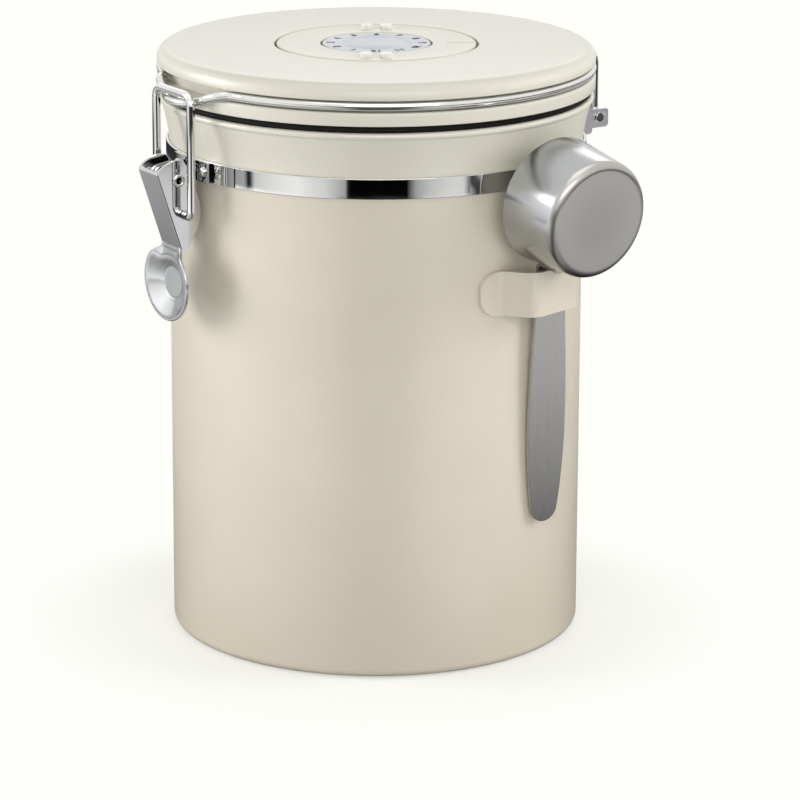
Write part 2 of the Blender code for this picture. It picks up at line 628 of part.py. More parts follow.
cover_profile += [
    (WELL_RADIUS + COVER_SHEET, COVER_TOP - COVER_SHEET),
    (WELL_RADIUS + COVER_SHEET, WELL_FLOOR - COVER_SHEET),
    (HUB_HOLE, WELL_FLOOR - COVER_SHEET),
]
as_piece(turned(cover_profile, closed=True), "lid_cover", ENAMEL, lid_axis)

# Lid wire: one long wire bent round the lid's groove into hook loop and hinge legs
HOOK_DROP = 0.00385
HOOK_REACH = 0.0050
HOOK_HALF = 0.0195
LEG_TOP_ROUND = 0.0048
LEG_FOOT_ROUND = 0.0016
LEG_PAST = 0.0007
GROOVE_MIDDLE = GROOVE_WALL + LID_WIRE_RADIUS + GAP
WIRE_HEIGHT = FLANGE_HIGH + GROOVE_TALL / 2
hook_across_shares = (1.0, 0.92, 0.84, 0.77, 0.68, 0.60, 0.52, 0.44, 0.36, 0.28, 0.20, 0.10, 0.0)
hook_radius_shares = (0.0, 0.15, 0.41, 0.48, 0.53, 0.54, 0.54, 0.53, 0.64, 0.79, 0.90, 0.98, 1.0)
hook_drop_shares = (0.0, 0.02, 0.09, 0.19, 0.35, 0.50, 0.64, 0.76, 0.87, 0.95, 0.985, 1.0, 1.0)

half_wire = []
for across, reach, drop in zip(hook_across_shares, hook_radius_shares, hook_drop_shares):
    t = HOOK_HALF * across
    rho = GROOVE_MIDDLE + HOOK_REACH * reach
    half_wire.append((t, -math.sqrt(rho * rho - t * t), WIRE_HEIGHT - HOOK_DROP * drop))
half_wire.reverse()
leg_half = HINGE_EAR_INNER - GAP - LID_WIRE_RADIUS
ring_start = math.asin(HOOK_HALF / GROOVE_MIDDLE)
ring_stop = math.pi - math.asin(leg_half / GROOVE_MIDDLE)
RING_STEPS = 24
for step in range(1, RING_STEPS + 1):
    azimuth = ring_start + (ring_stop - ring_start) * step / RING_STEPS
    half_wire.append((GROOVE_MIDDLE * math.sin(azimuth), -GROOVE_MIDDLE * math.cos(azimuth), WIRE_HEIGHT))
for out, height in arc(HINGE_OUT - LEG_TOP_ROUND, WIRE_HEIGHT - LEG_TOP_ROUND, LEG_TOP_ROUND, 90, 0, 5):
    half_wire.append((leg_half, out, height))
for t, height in arc(leg_half + LEG_FOOT_ROUND, HINGE_HEIGHT + LEG_FOOT_ROUND, LEG_FOOT_ROUND, 180, 270):
    half_wire.append((t, HINGE_OUT, height))
half_wire.append((HINGE_EAR_INNER + HINGE_EAR_SHEET + LEG_PAST, HINGE_OUT, HINGE_HEIGHT))
wire_path = [(-t, y, z) for t, y, z in half_wire[:0:-1]] + half_wire
as_piece(bar(wire_path, LID_WIRE_RADIUS), "lid_wire", CHROME, lid_axis)

# Date ring: a turning ring with two pairs of grips and an index line
RING_OUTER = WELL_RADIUS - GAP
RING_INNER = 0.01615
RING_LIP = 0.0138
RING_LIP_HEIGHT = 0.0005
RING_TOP = COVER_TOP
RING_EDGE = 0.0006
NUB_RADIUS = 0.0227
NUB_APART = 0.00285
NUB_WIDTH = 0.0030
NUB_LENGTH = 0.0045
NUB_HEIGHT = 0.0012
NUB_SUNK = 0.0004
INDEX_INNER = 0.0198
INDEX_OUTER = 0.0285
INDEX_WIDTH = 0.0006
INDEX_DEPTH = 0.0003
NUB_AZIMUTH = math.radians(58)
INDEX_AZIMUTH = math.radians(147)
ring_low = WELL_FLOOR + GAP
ring_axis = axis_empty("date_ring_axis", (0.0, 0.0, ring_low))
ring_axis.parent = lid_axis
ring_axis.location = Vector((0.0, 0.0, ring_low)) - lid_axis.location
ring_profile = arc(RING_INNER + RING_EDGE, RING_TOP - RING_EDGE, RING_EDGE, 180, 90, 2)
ring_profile += arc(RING_OUTER - RING_EDGE, RING_TOP - RING_EDGE, RING_EDGE, 90, 0, 2)
ring_profile += [
    (RING_OUTER, ring_low), (RING_LIP, ring_low),
    (RING_LIP, ring_low + RING_LIP_HEIGHT), (RING_INNER, ring_low + RING_LIP_HEIGHT),
]
date_ring = turned(ring_profile, closed=True)
nub_round = NUB_WIDTH / 2
nub_straight = NUB_LENGTH / 2 - nub_round
nub_outline = arc(0.0, nub_straight, nub_round, 0, 180, 5) + arc(0.0, -nub_straight, nub_round, 180, 360, 5)
for azimuth in (NUB_AZIMUTH, NUB_AZIMUTH + math.pi):
    for side in (-1, 1):
        spin = Matrix.Rotation(azimuth, 4, "Z")
        lift = Matrix.Translation((side * NUB_APART, -NUB_RADIUS, RING_TOP + (NUB_HEIGHT - NUB_SUNK) / 2))
        nub = sheet(nub_outline, NUB_HEIGHT + NUB_SUNK, spin @ lift)
        join(date_ring, frozen(bevel(nub, NUB_HEIGHT / 3)))
index_middle = (INDEX_INNER + INDEX_OUTER) / 2
index_half = (INDEX_OUTER - INDEX_INNER) / 2
index_outline = [(INDEX_WIDTH / 2, index_half), (-INDEX_WIDTH / 2, index_half),
                 (-INDEX_WIDTH / 2, -index_half), (INDEX_WIDTH / 2, -index_half)]
index_place = Matrix.Rotation(INDEX_AZIMUTH, 4, "Z") @ Matrix.Translation((0.0, -index_middle, RING_TOP))
join(date_ring, sheet(index_outline, 2 * INDEX_DEPTH, index_place), "DIFFERENCE")
date_ring = as_piece(date_ring, "date_ring", ENAMEL)
date_ring.parent = ring_axis
date_ring.location = Vector((0.0, 0.0, -ring_low))

# Date disc: the fixed numbered disc in the middle of the ring
DISC_RADIUS = RING_INNER - GAP
DISC_LOW = ring_low + RING_LIP_HEIGHT + GAP
DISC_EDGE = 0.0003
DISC_TOP = COVER_TOP - BAND_EDGE / 2
disc_profile = [(0.0, DISC_TOP)]
disc_profile += arc(DISC_RADIUS - DISC_EDGE, DISC_TOP - DISC_EDGE, DISC_EDGE, 90, 0, 2)
disc_profile += [(DISC_RADIUS, DISC_LOW), (0.0, DISC_LOW)]
as_piece(turned(disc_profile), "date_disc", DIAL, lid_axis)

# Dial hub: the stem that holds the disc to the cover's floor
HUB_FLANGE = 0.0125
HUB_BORE = 0.0030
HUB_LONG = 0.0050
hub_foot = WELL_FLOOR - HUB_LONG
hub_stem = HUB_HOLE - GAP
hub_top = DISC_LOW - GAP
hub_profile = [
    (HUB_BORE, hub_top), (HUB_FLANGE, hub_top), (HUB_FLANGE, ring_low), (hub_stem, ring_low),
    (hub_stem, hub_foot), (HUB_BORE, hub_foot),
]
as_piece(turned(hub_profile, HUB_STEPS, closed=True), "dial_hub", CLEAR, lid_axis)

# Valve body: a flanged barrel through the pan with a seat for the flap
VALVE_FLANGE = 0.0145
VALVE_BELOW = 0.0016
VALVE_ABOVE = 0.0063
VALVE_WALL = 0.0014
SEAT_RISE = 0.0018
SEAT_SHEET = 0.0009
SEAT_HOLE = 0.0011
VALVE_LOW = PLUG_LOW - VALVE_BELOW
VALVE_TOP = PLUG_LOW + VALVE_ABOVE
SEAT_LOW = PLUG_LOW + SEAT_RISE
SEAT_HIGH = SEAT_LOW + SEAT_SHEET
VENT_RADIUS = 0.0010
VENT_RING = 0.0042
VENT_COUNT = 6
VENT_TURN_SHARE = 0.31
VENT_STEPS = 8
valve_outer = VALVE_HOLE - GAP
valve_inner = valve_outer - VALVE_WALL
valve_profile = [
    (valve_inner, VALVE_TOP), (valve_outer, VALVE_TOP),
    (valve_outer, PLUG_LOW - GAP), (VALVE_FLANGE, PLUG_LOW - GAP),
    (VALVE_FLANGE, VALVE_LOW), (valve_inner, VALVE_LOW),
    (valve_inner, SEAT_LOW), (SEAT_HOLE, SEAT_LOW), (SEAT_HOLE, SEAT_HIGH), (valve_inner, SEAT_HIGH),
]
valve_body = turned(valve_profile, HUB_STEPS, closed=True)


def vent(target, radius, ring, count, height, depth):
    """A ring of small holes through a flat web."""
    for number in range(count):
        angle = math.tau * (number + VENT_TURN_SHARE) / count
        hole = turned([(0.0, depth), (radius, depth), (radius, -depth), (0.0, -depth)], VENT_STEPS)
        hole.location = (ring * math.cos(angle), ring * math.sin(angle), height)
        join(target, hole, "DIFFERENCE")


vent(valve_body, VENT_RADIUS, VENT_RING, VENT_COUNT, SEAT_LOW, SEAT_HIGH - SEAT_LOW + GAP)
as_piece(valve_body, "valve_body", CLEAR, lid_axis)

# Valve nut: a notched ring that clamps the valve to the pan
NUT_OUTER = 0.0150
NUT_TALL = 0.0027
NUT_NOTCH = 0.0012
NUT_NOTCHES = 8
nut_low = PLUG_LOW + SHEET + GAP
nut_high = nut_low + NUT_TALL
nut_profile = [
    (VALVE_HOLE, nut_high), (NUT_OUTER, nut_high), (NUT_OUTER, nut_low), (VALVE_HOLE, nut_low),
]
valve_nut = turned(nut_profile, HUB_STEPS, closed=True)
vent(valve_nut, NUT_NOTCH, NUT_OUTER, NUT_NOTCHES, nut_low, NUT_TALL + GAP)
as_piece(valve_nut, "valve_nut", CLEAR, lid_axis)

# Valve flap: a soft disc over the seat, held by a stem through its hole
FLAP_RADIUS = 0.0075
FLAP_LOW = SEAT_HIGH + GAP
FLAP_THICK = 0.0007
STEM_RADIUS = 0.0008
STEM_BEAD = 0.0016
stem_low = SEAT_LOW - GAP
flap_profile = [
    (0.0, FLAP_LOW + FLAP_THICK), (FLAP_RADIUS, FLAP_LOW + FLAP_THICK), (FLAP_RADIUS, FLAP_LOW),
    (STEM_RADIUS, FLAP_LOW), (STEM_RADIUS, stem_low), (STEM_BEAD, stem_low),
    (STEM_RADIUS, stem_low - STEM_RADIUS), (0.0, stem_low - STEM_RADIUS),
]
as_piece(turned(flap_profile, SMALL_STEPS), "valve_flap", RUBBER, lid_axis)

# Valve screen: a drilled disc in the valve's mouth
SCREEN_RISE = 0.0004
SCREEN_THICK = 0.0006
SCREEN_HOLE = 0.0008
SCREEN_RINGS = ((0.0032, 6), (0.0064, 12))
SCREEN_LOW = VALVE_LOW + SCREEN_RISE
screen_radius = valve_inner - GAP
screen_profile = [
    (0.0, SCREEN_LOW + SCREEN_THICK), (screen_radius, SCREEN_LOW + SCREEN_THICK),
    (screen_radius, SCREEN_LOW), (0.0, SCREEN_LOW),
]
valve_screen = turned(screen_profile, HUB_STEPS)
for ring, count in SCREEN_RINGS:
    vent(valve_screen, SCREEN_HOLE, ring, count, SCREEN_LOW, SCREEN_THICK * 2)
as_piece(valve_screen, "valve_screen", SATIN, lid_axis)

# Scoop hook: a strap bent proud of the wall to take the scoop's handle
HOOK_AZIMUTH = math.radians(107)
STRAP_SHEET = 0.0012
STRAP_LOW = 0.1042
STRAP_TALL = 0.0128
STRAP_REACH = math.radians(20.5)
STRAP_RAMP = 0.0043
STRAP_CREST_HALF = 0.0093
STRAP_PROUD = 0.0085
STRAP_ROUND = 0.0060
STRAP_MITRE_SHARE = 0.6
STRAP_HIGH = STRAP_LOW + STRAP_TALL
STRAP_CREST = BODY_RADIUS + STRAP_PROUD
STRAP_FOOT_HALF = STRAP_CREST_HALF + STRAP_RAMP
strap_inner = BODY_RADIUS + GAP
strap_outer = strap_inner + STRAP_SHEET


def wall_point(radius, across):
    """A plan point on a round wall at a sideways offset."""
    return (across, math.sqrt(radius * radius - across * across))


def strap_half(radius, crest, crest_half, foot_half):
    """Half of the strap's plan line, from its end to its crest."""
    reach = radius * math.sin(STRAP_REACH)
    points = []
    for step in range(CORNER_STEPS + 1):
        points.append(wall_point(radius, reach + (foot_half - reach) * step / CORNER_STEPS))
    points.append((crest_half, crest))
    return points


def mirrored(points):
    """The same chain on the other side, run backwards."""
    return [(-across, other) for across, other in points[::-1]]


ramp_shift = STRAP_SHEET * STRAP_MITRE_SHARE
strap_front = strap_half(strap_outer, STRAP_CREST, STRAP_CREST_HALF, STRAP_FOOT_HALF)
strap_back = strap_half(strap_inner, STRAP_CREST - STRAP_SHEET, STRAP_CREST_HALF - ramp_shift,
                        STRAP_FOOT_HALF - ramp_shift)
strap_plan = strap_front + mirrored(strap_front) + mirrored(strap_back)[::-1] + strap_back[::-1]
strap_face = looking(HOOK_AZIMUTH, 0.0)
strap_mid = Matrix.Translation((0.0, 0.0, (STRAP_LOW + STRAP_HIGH) / 2))
scoop_hook = sheet(strap_plan, STRAP_TALL, strap_mid @ strap_face @ Matrix.Rotation(math.pi / 2, 4, "X"))
half_length = strap_outer * math.sin(STRAP_REACH)
half_height = STRAP_TALL / 2
window = arc(half_length - STRAP_ROUND, half_height - STRAP_ROUND, STRAP_ROUND, 0, 90, 6)
window += mirrored(window)
window += [(t, -z) for t, z in window[::-1]]
window_place = strap_mid @ looking(HOOK_AZIMUTH, BODY_RADIUS)
join(scoop_hook, sheet(window, BODY_RADIUS, window_place), "INTERSECT")
as_piece(scoop_hook, "scoop_hook", ENAMEL)

# Scoop cup: a round measuring cup lying on its side with its mouth to the wall
CUP_SHIFT = 0.0002
CUP_PITCH = math.radians(7.6)
CUP_YAW = math.radians(4.6)
CUP_MOUTH = 0.0182
CUP_TAPER = 0.0012
CUP_DEPTH = 0.0205
CUP_WALL = 0.0009
CUP_ROUND = 0.0026
CUP_REACH = 0.0058
CUP_RISE = 0.0201
CUP_END = CUP_MOUTH - CUP_TAPER
CUP_OUT = BODY_RADIUS + CUP_REACH
CUP_ACROSS = -BODY_RADIUS * math.cos(HOOK_AZIMUTH) - CUP_SHIFT
CUP_HEIGHT = STRAP_HIGH + CUP_RISE

scoop_axis = axis_empty("scoop_axis", (CUP_OUT, CUP_ACROSS, CUP_HEIGHT))
cup_profile = [(0.0, CUP_WALL)]
cup_profile += arc(CUP_END - CUP_ROUND, CUP_ROUND, CUP_ROUND - CUP_WALL, -90, 0)
cup_profile += [(CUP_MOUTH - CUP_WALL, CUP_DEPTH), (CUP_MOUTH, CUP_DEPTH)]
cup_profile += arc(CUP_END - CUP_ROUND, CUP_ROUND, CUP_ROUND, 0, -90)
cup_profile += [(0.0, 0.0)]
scoop_cup = turned(cup_profile, CUP_STEPS)
cup_level = math.cos(CUP_PITCH)
cup_direction = Vector((-cup_level * math.cos(CUP_YAW), -cup_level * math.sin(CUP_YAW), math.sin(CUP_PITCH)))
scoop_cup.rotation_euler = cup_direction.to_track_quat("Z", "Y").to_euler()
scoop_cup.location = scoop_axis.location - cup_direction * CUP_DEPTH
as_piece(scoop_cup, "scoop_cup", SATIN, scoop_axis)

# Scoop handle: a flat bar with a rounded tip, bent over under the cup
HANDLE_SHIFT = 0.0023
HANDLE_LEAN = math.radians(1.9)
HANDLE_SHEET = 0.0012
HANDLE_TIP = 0.0410
HANDLE_TIP_OFF = 0.0019
HANDLE_WIDE = 0.0062
HANDLE_TIP_ROUND = 0.0044
HANDLE_BEND = 0.0012
HANDLE_SHELF = 0.0075
handle_width_shares = ((0.08, 0.76), (0.21, 0.92), (0.33, 1.0), (0.46, 1.0), (0.635, 0.94), (0.82, 0.81),
                       (1.0, 0.79))
HANDLE_ACROSS = CUP_ACROSS + HANDLE_SHIFT
HANDLE_TIP_OUT = plate_reach(BODY_RADIUS, HANDLE_ACROSS) + HANDLE_TIP_OFF
wall_dip = CUP_PITCH - math.atan(CUP_TAPER / CUP_DEPTH)
shelf_dip = wall_dip - HANDLE_LEAN
cup_foot = Vector((CUP_OUT - CUP_MOUTH * math.sin(CUP_PITCH), CUP_HEIGHT - CUP_MOUTH * math.cos(CUP_PITCH)))
wall_up = Vector((math.sin(wall_dip), math.cos(wall_dip)))
bend_outer = HANDLE_BEND + HANDLE_SHEET
tip_point = Vector((HANDLE_TIP_OUT, HANDLE_TIP))
rise = (cup_foot - tip_point).dot(wall_up) - GAP - bend_outer - bend_outer * math.sin(shelf_dip)
handle_length = rise / math.cos(shelf_dip)
shelf_run = Vector((math.cos(shelf_dip), -math.sin(shelf_dip))) * HANDLE_SHELF
back_line = [(0.0, 0.0)]
back_line += arc(bend_outer, handle_length, bend_outer, 180, 90 - math.degrees(shelf_dip), 6)
back_line.append((back_line[-1][0] + shelf_run.x, back_line[-1][1] + shelf_run.y))
front_line = [(HANDLE_SHEET, 0.0)]
front_line += arc(bend_outer, handle_length, HANDLE_BEND, 180, 90 - math.degrees(shelf_dip), 6)
front_line.append((front_line[-1][0] + shelf_run.x, front_line[-1][1] + shelf_run.y))
handle_place = Matrix.Translation((HANDLE_TIP_OUT, HANDLE_ACROSS, HANDLE_TIP))
handle_place = handle_place @ Matrix.Rotation(HANDLE_LEAN, 4, "Y")
handle_side = handle_place @ Matrix.Rotation(math.pi / 2, 4, "X")
scoop_handle = sheet(back_line + front_line[::-1], 3 * HANDLE_WIDE, handle_side)
half_handle = arc(0.0, HANDLE_TIP_ROUND, HANDLE_TIP_ROUND, -90, -10, 6)
for rise_share, width_share in handle_width_shares:
    half_handle.append((HANDLE_WIDE * width_share, handle_length * rise_share))
half_handle.append((half_handle[-1][0], handle_length + bend_outer + HANDLE_SHELF))
handle_face = Matrix.Rotation(math.pi / 2, 4, "Z") @ Matrix.Rotation(math.pi / 2, 4, "X")
handle_outline = half_handle + mirrored(half_handle)[:-1]
join(scoop_handle, sheet(handle_outline, 4 * HANDLE_SHELF, handle_place @ handle_face), "INTERSECT")
as_piece(scoop_handle, "scoop_handle", SATIN, scoop_axis)
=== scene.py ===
import math

import bmesh
import bpy
from mathutils import Matrix, Vector


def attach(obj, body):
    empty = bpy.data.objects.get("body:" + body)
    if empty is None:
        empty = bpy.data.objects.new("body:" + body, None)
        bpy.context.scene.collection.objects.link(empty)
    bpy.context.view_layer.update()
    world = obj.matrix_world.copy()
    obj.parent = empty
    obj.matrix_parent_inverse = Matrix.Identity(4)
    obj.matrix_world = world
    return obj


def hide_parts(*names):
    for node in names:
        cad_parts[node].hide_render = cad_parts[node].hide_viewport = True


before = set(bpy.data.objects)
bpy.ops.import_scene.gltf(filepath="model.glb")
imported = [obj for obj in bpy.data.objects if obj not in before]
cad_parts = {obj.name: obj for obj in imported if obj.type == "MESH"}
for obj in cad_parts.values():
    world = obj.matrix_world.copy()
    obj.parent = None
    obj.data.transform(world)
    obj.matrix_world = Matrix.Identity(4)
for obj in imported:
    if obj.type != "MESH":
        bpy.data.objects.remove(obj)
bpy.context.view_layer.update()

# Vessel: deep-drawn steel pot, bare and brushed inside, powder coated cream outside.
# The neck is flared and the rim rolled over outwards; the foot is pressed with one ring.
VESSEL_RADIUS = 0.0600
VESSEL_SHEET = 0.0008
VESSEL_FLOOR = 0.0010
FOOT_ROUND = 0.0025
FOOT_RING_OUTER = 0.0522
FOOT_RING_INNER = 0.0458
FOOT_RING_DEEP = 0.0005
FOOT_RING_EASE = 0.00012
NECK_START = 0.1465
NECK_TALL = 0.0098
NECK_FLARE = 0.0020
RIM_TOP = 0.1588
RIM_ROLL = 0.00105
RIM_OUTER = 0.0629
MOUTH = 0.0609
MOUTH_UP = 0.1564
CREAM = (0.665, 0.610, 0.496)
CREAM_SHADE = (0.635, 0.580, 0.468)
NECK_CREAM = (0.660, 0.640, 0.545)


class Flow:
    """A socket in a material's tree, so that arithmetic on it reads as plain Python."""

    def __init__(self, tree, socket=None):
        self.tree = tree
        self.socket = socket

    def node(self, kind, settings, inputs, out=0):
        """Add a node: its settings first, then the values or links of its sockets."""
        made = self.tree.nodes.new(kind)
        for key, value in settings.items():
            if key == "stops":
                elements = made.color_ramp.elements
                elements.remove(elements[1])
                elements[0].position = value[0][0]
                elements[0].color = (value[0][1],) * 3 + (1.0,)
                for place, grey in value[1:]:
                    elements.new(place).color = (grey, grey, grey, 1.0)
            else:
                setattr(made, key, value)
        for key, value in inputs.items():
            if isinstance(value, Flow):
                self.tree.links.new(value.socket, made.inputs[key])
            else:
                made.inputs[key].default_value = value
        return Flow(self.tree, made.outputs[out])

    def maths(self, kind, other, swap=False):
        """One Math node between this socket and a number or another socket."""
        first, second = (other, self) if swap else (self, other)
        return self.node("ShaderNodeMath", {"operation": kind}, {0: first, 1: second})

    def __add__(self, other):
        return self.maths("ADD", other)

    __radd__ = __add__

    def __sub__(self, other):
        return self.maths("SUBTRACT", other)

    def __rsub__(self, other):
        return self.maths("SUBTRACT", other, swap=True)

    def __mul__(self, other):
        return self.maths("MULTIPLY", other)

    __rmul__ = __mul__

    def __truediv__(self, other):
        return self.maths("DIVIDE", other)

    def __pow__(self, other):
        return self.maths("POWER", other)

    def between(self, low, high):
        """0 below low, 1 above high, smooth between."""
        return self.node("ShaderNodeMapRange", {"interpolation_type": "SMOOTHSTEP"},
                         {"Value": self, "From Min": low, "From Max": high})

    def stretched(self, x, y, z):
        """Coordinates scaled differently along each axis."""
        return self.node("ShaderNodeVectorMath", {"operation": "MULTIPLY"}, {0: self, 1: (x, y, z)})

    def axis(self, name):
        """One coordinate of a vector."""
        return self.node("ShaderNodeSeparateXYZ", {}, {0: self}, name)

    def noise(self, scale, detail=3.0, rough=0.5):
        """Cloudy noise over coordinates."""
        return self.node("ShaderNodeTexNoise", {},
                         {"Vector": self, "Scale": scale, "Detail": detail, "Roughness": rough})

    def blend(self, first, second):
        """Two colours mixed by this socket."""
        sockets = {0: self, 6: first if isinstance(first, Flow) else (*first, 1.0),
                   7: second if isinstance(second, Flow) else (*second, 1.0)}
        return self.node("ShaderNodeMix", {"data_type": "RGBA"}, sockets, 2)

    def relief(self, depth, strength=1.0, under=None):
        """A Bump node over this height, in metres for a height of 1."""
        inputs = {"Height": self, "Distance": depth, "Strength": strength}
        if under is not None:
            inputs["Normal"] = under
        return self.node("ShaderNodeBump", {}, inputs)


def surface(name, metallic, **fixed):
    """A new material, its coordinates in metres and a call that feeds its shader."""
    made = bpy.data.materials.new(name)
    made.use_nodes = True
    shader = made.node_tree.nodes["Principled BSDF"]
    shader.inputs["Metallic"].default_value = metallic
    for key, value in fixed.items():
        shader.inputs[key.replace("_", " ")].default_value = value
    place = Flow(made.node_tree).node("ShaderNodeTexCoord", {}, {}, "Object")

    def feed(key, value):
        place.tree.links.new(value.socket, shader.inputs[key])

    return made, place, feed


def powder_coat(name, light, shade, high, gloss=2.0):
    """Satin powder coat with orange peel, faintly clouded and specked, paler up at the neck."""
    made, place, feed = surface(name, 0.0, IOR=gloss)
    cloud = place.noise(22.0, 3.0)
    speck = place.noise(2600.0, 2.0).between(0.60, 0.72)
    tone = cloud.between(0.32, 0.68).blend(light, shade)
    tone = (0.9 * place.axis("Z").between(0.136, 0.148)).blend(tone, high)
    feed("Base Color", (speck * 0.10).blend(tone, tuple(0.82 * part for part in shade)))
    feed("Roughness", 0.26 + 0.06 * cloud + 0.05 * place.noise(700.0))
    fine = place.noise(900.0, 2.0).relief(0.000035)
    feed("Normal", place.noise(38.0, 1.0).relief(0.00015, 0.5, fine))
    return made


def brushed(name, tone, along, roughness):
    """Satin steel with its grain drawn out along one direction."""
    made, place, feed = surface(name, 1.0)
    lines = place.stretched(*along).noise(1.0, 4.0, 0.6)
    smear = place.noise(60.0, 2.0)
    feed("Base Color", lines.between(0.25, 0.75).blend(tuple(0.86 * part for part in tone), tone))
    feed("Roughness", roughness - 0.08 + 0.16 * lines + 0.06 * smear)
    feed("Normal", lines.relief(0.000012))
    return made


cream_coat = powder_coat("cream_coat", CREAM, CREAM_SHADE, NECK_CREAM)
inside_steel = brushed("inside_steel", (0.62, 0.61, 0.59), (40.0, 40.0, 2200.0), 0.34)


def arc(middle_r, middle_z, radius, start, stop, steps=8):
    """Points on a circle arc in a profile's plane, angles in degrees."""
    points = []
    for step in range(steps + 1):
        angle = math.radians(start + (stop - start) * step / steps)
        points.append((middle_r + radius * math.cos(angle), middle_z + radius * math.sin(angle)))
    return points


def corner(r, z, radius, start, stop, steps=8):
    """Points round a square corner of a profile; start and stop say which way its sides face."""
    angles = (math.radians(start), math.radians(stop))
    middle_r = r - radius * sum(math.cos(angle) for angle in angles)
    middle_z = z - radius * sum(math.sin(angle) for angle in angles)
    return arc(middle_r, middle_z, radius, start, stop, steps)


def closed_mesh(work, name):
    """A mesh of a bmesh that is no longer needed, its faces turned outwards."""
    bmesh.ops.recalc_face_normals(work, faces=work.faces)
    mesh = bpy.data.meshes.new(name)
    work.to_mesh(mesh)
    work.free()
    return mesh


def linked(name, data):
    """A new object in the scene."""
    obj = bpy.data.objects.new(name, data)
    bpy.context.scene.collection.objects.link(obj)
    return obj


def show(mesh, name, materials, sharp=38.0):
    """Make a smooth shaded object of a mesh."""
    obj = linked(name, mesh)
    for one in materials:
        mesh.materials.append(one)
    mesh.shade_smooth()
    mesh.set_sharp_from_angle(angle=math.radians(sharp))
    return obj


def revolve(name, profile, materials, closed=False, second=(), steps=160, sharp=38.0):
    """Turn a profile about Z; the spans numbered in second take the second material."""
    work = bmesh.new()
    rings = []
    for radius, height in profile:
        if radius < 1e-7:
            rings.append([work.verts.new((0.0, 0.0, height))] * steps)
        else:
            turns = [math.tau * k / steps for k in range(steps)]
            rings.append([work.verts.new((radius * math.cos(turn), radius * math.sin(turn), height))
                          for turn in turns])
    spans = len(profile) if closed else len(profile) - 1
    for span in range(spans):
        above, below = rings[span], rings[(span + 1) % len(profile)]
        for k in range(steps):
            corners = [above[k], below[k], below[(k + 1) % steps], above[(k + 1) % steps]]
            face = work.faces.new(list(dict.fromkeys(corners)))
            face.material_index = 1 if span in second else 0
    return show(closed_mesh(work, name), name, materials, sharp)


inside_radius = VESSEL_RADIUS - VESSEL_SHEET
neck_line = [(VESSEL_RADIUS + NECK_FLARE * (k / 10) ** 1.35, NECK_START + NECK_TALL * (k / 10))
             for k in range(11)]
vessel_inner = [(0.0, VESSEL_FLOOR)]
vessel_inner += corner(inside_radius, VESSEL_FLOOR, FOOT_ROUND, -90, 0)
vessel_inner += [(inside_radius, z) for z in (0.05, 0.10, NECK_START)]
vessel_inner += [(r - VESSEL_SHEET, z) for r, z in neck_line[2:-1:2]] + [(MOUTH, MOUTH_UP)]
vessel_inner += arc(MOUTH + RIM_ROLL, RIM_TOP - RIM_ROLL, RIM_ROLL, 180, 100, 6)
vessel_outer = arc(RIM_OUTER - RIM_ROLL, RIM_TOP - RIM_ROLL, RIM_ROLL, 88, -75, 14)
vessel_outer += neck_line[::-1] + [(VESSEL_RADIUS, z) for z in (0.10, 0.05)]
vessel_outer += arc(VESSEL_RADIUS - FOOT_ROUND, FOOT_ROUND, FOOT_ROUND, 0, -90)
vessel_outer += [(FOOT_RING_OUTER, 0.0), (FOOT_RING_OUTER - 0.0008, FOOT_RING_EASE),
                 (FOOT_RING_OUTER - 0.0013, FOOT_RING_DEEP), (FOOT_RING_INNER + 0.0013, FOOT_RING_DEEP),
                 (FOOT_RING_INNER + 0.0008, FOOT_RING_EASE), (FOOT_RING_INNER, 0.0), (0.0, 0.0)]
vessel = revolve("vessel", vessel_inner + vessel_outer, [cream_coat, inside_steel],
                 second=range(len(vessel_inner) - 4))
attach(vessel, "canister")
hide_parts("canister_body")

# Neck band: a polished steel strip pulled tight round the neck and lapped under the latch.
# It carries the latch in front and the hinge behind; its free end shows beside the latch.
BAND_LOW = 0.1399
BAND_HIGH = 0.14565
BAND_OUTER = 0.0609
BAND_INNER = 0.0602
BAND_EDGE = 0.00018
LAP_SHEET = 0.0003
LAP_START = -0.17
LAP_END = math.radians(17.6)


def polished(name, tone=(0.80, 0.80, 0.79), roughness=0.02):
    """Bright plate with faint smears and hair scratches."""
    made, place, feed = surface(name, 1.0)
    smear = place.noise(90.0, 3.0)
    hair = place.stretched(300.0, 300.0, 3000.0).noise(1.0, 2.0).between(0.55, 0.80)
    feed("Base Color", smear.between(0.3, 0.7).blend(tone, tuple(0.93 * part for part in tone)))
    feed("Roughness", roughness + 0.03 * smear + 0.03 * hair)
    feed("Normal", place.noise(160.0, 1.0).relief(0.00002, 0.5))
    return made


def baked(obj):
    """Put an object's modifiers into its mesh."""
    graph = bpy.context.evaluated_depsgraph_get()
    graph.update()
    mesh = bpy.data.meshes.new_from_object(obj.evaluated_get(graph))
    obj.modifiers.clear()
    obj.data = mesh
    return mesh


def level_faces(obj):
    """Keep flat faces flat in their shading, whatever their edges do."""
    obj.modifiers.new("faces", "WEIGHTED_NORMAL").keep_sharp = True
    baked(obj)


bright_plate = polished("bright_plate")
band_line = [(BAND_INNER, BAND_HIGH), (BAND_OUTER - BAND_EDGE, BAND_HIGH),
             (BAND_OUTER - BAND_EDGE / 4, BAND_HIGH - BAND_EDGE / 4),
             (BAND_OUTER, BAND_HIGH - BAND_EDGE), (BAND_OUTER, BAND_LOW + BAND_EDGE),
             (BAND_OUTER - BAND_EDGE / 4, BAND_LOW + BAND_EDGE / 4),
             (BAND_OUTER - BAND_EDGE, BAND_LOW), (BAND_INNER, BAND_LOW)]
band = revolve("neck_strip", band_line, [bright_plate], closed=True, sharp=60)
level_faces(band)
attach(band, "canister")
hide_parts("neck_band")


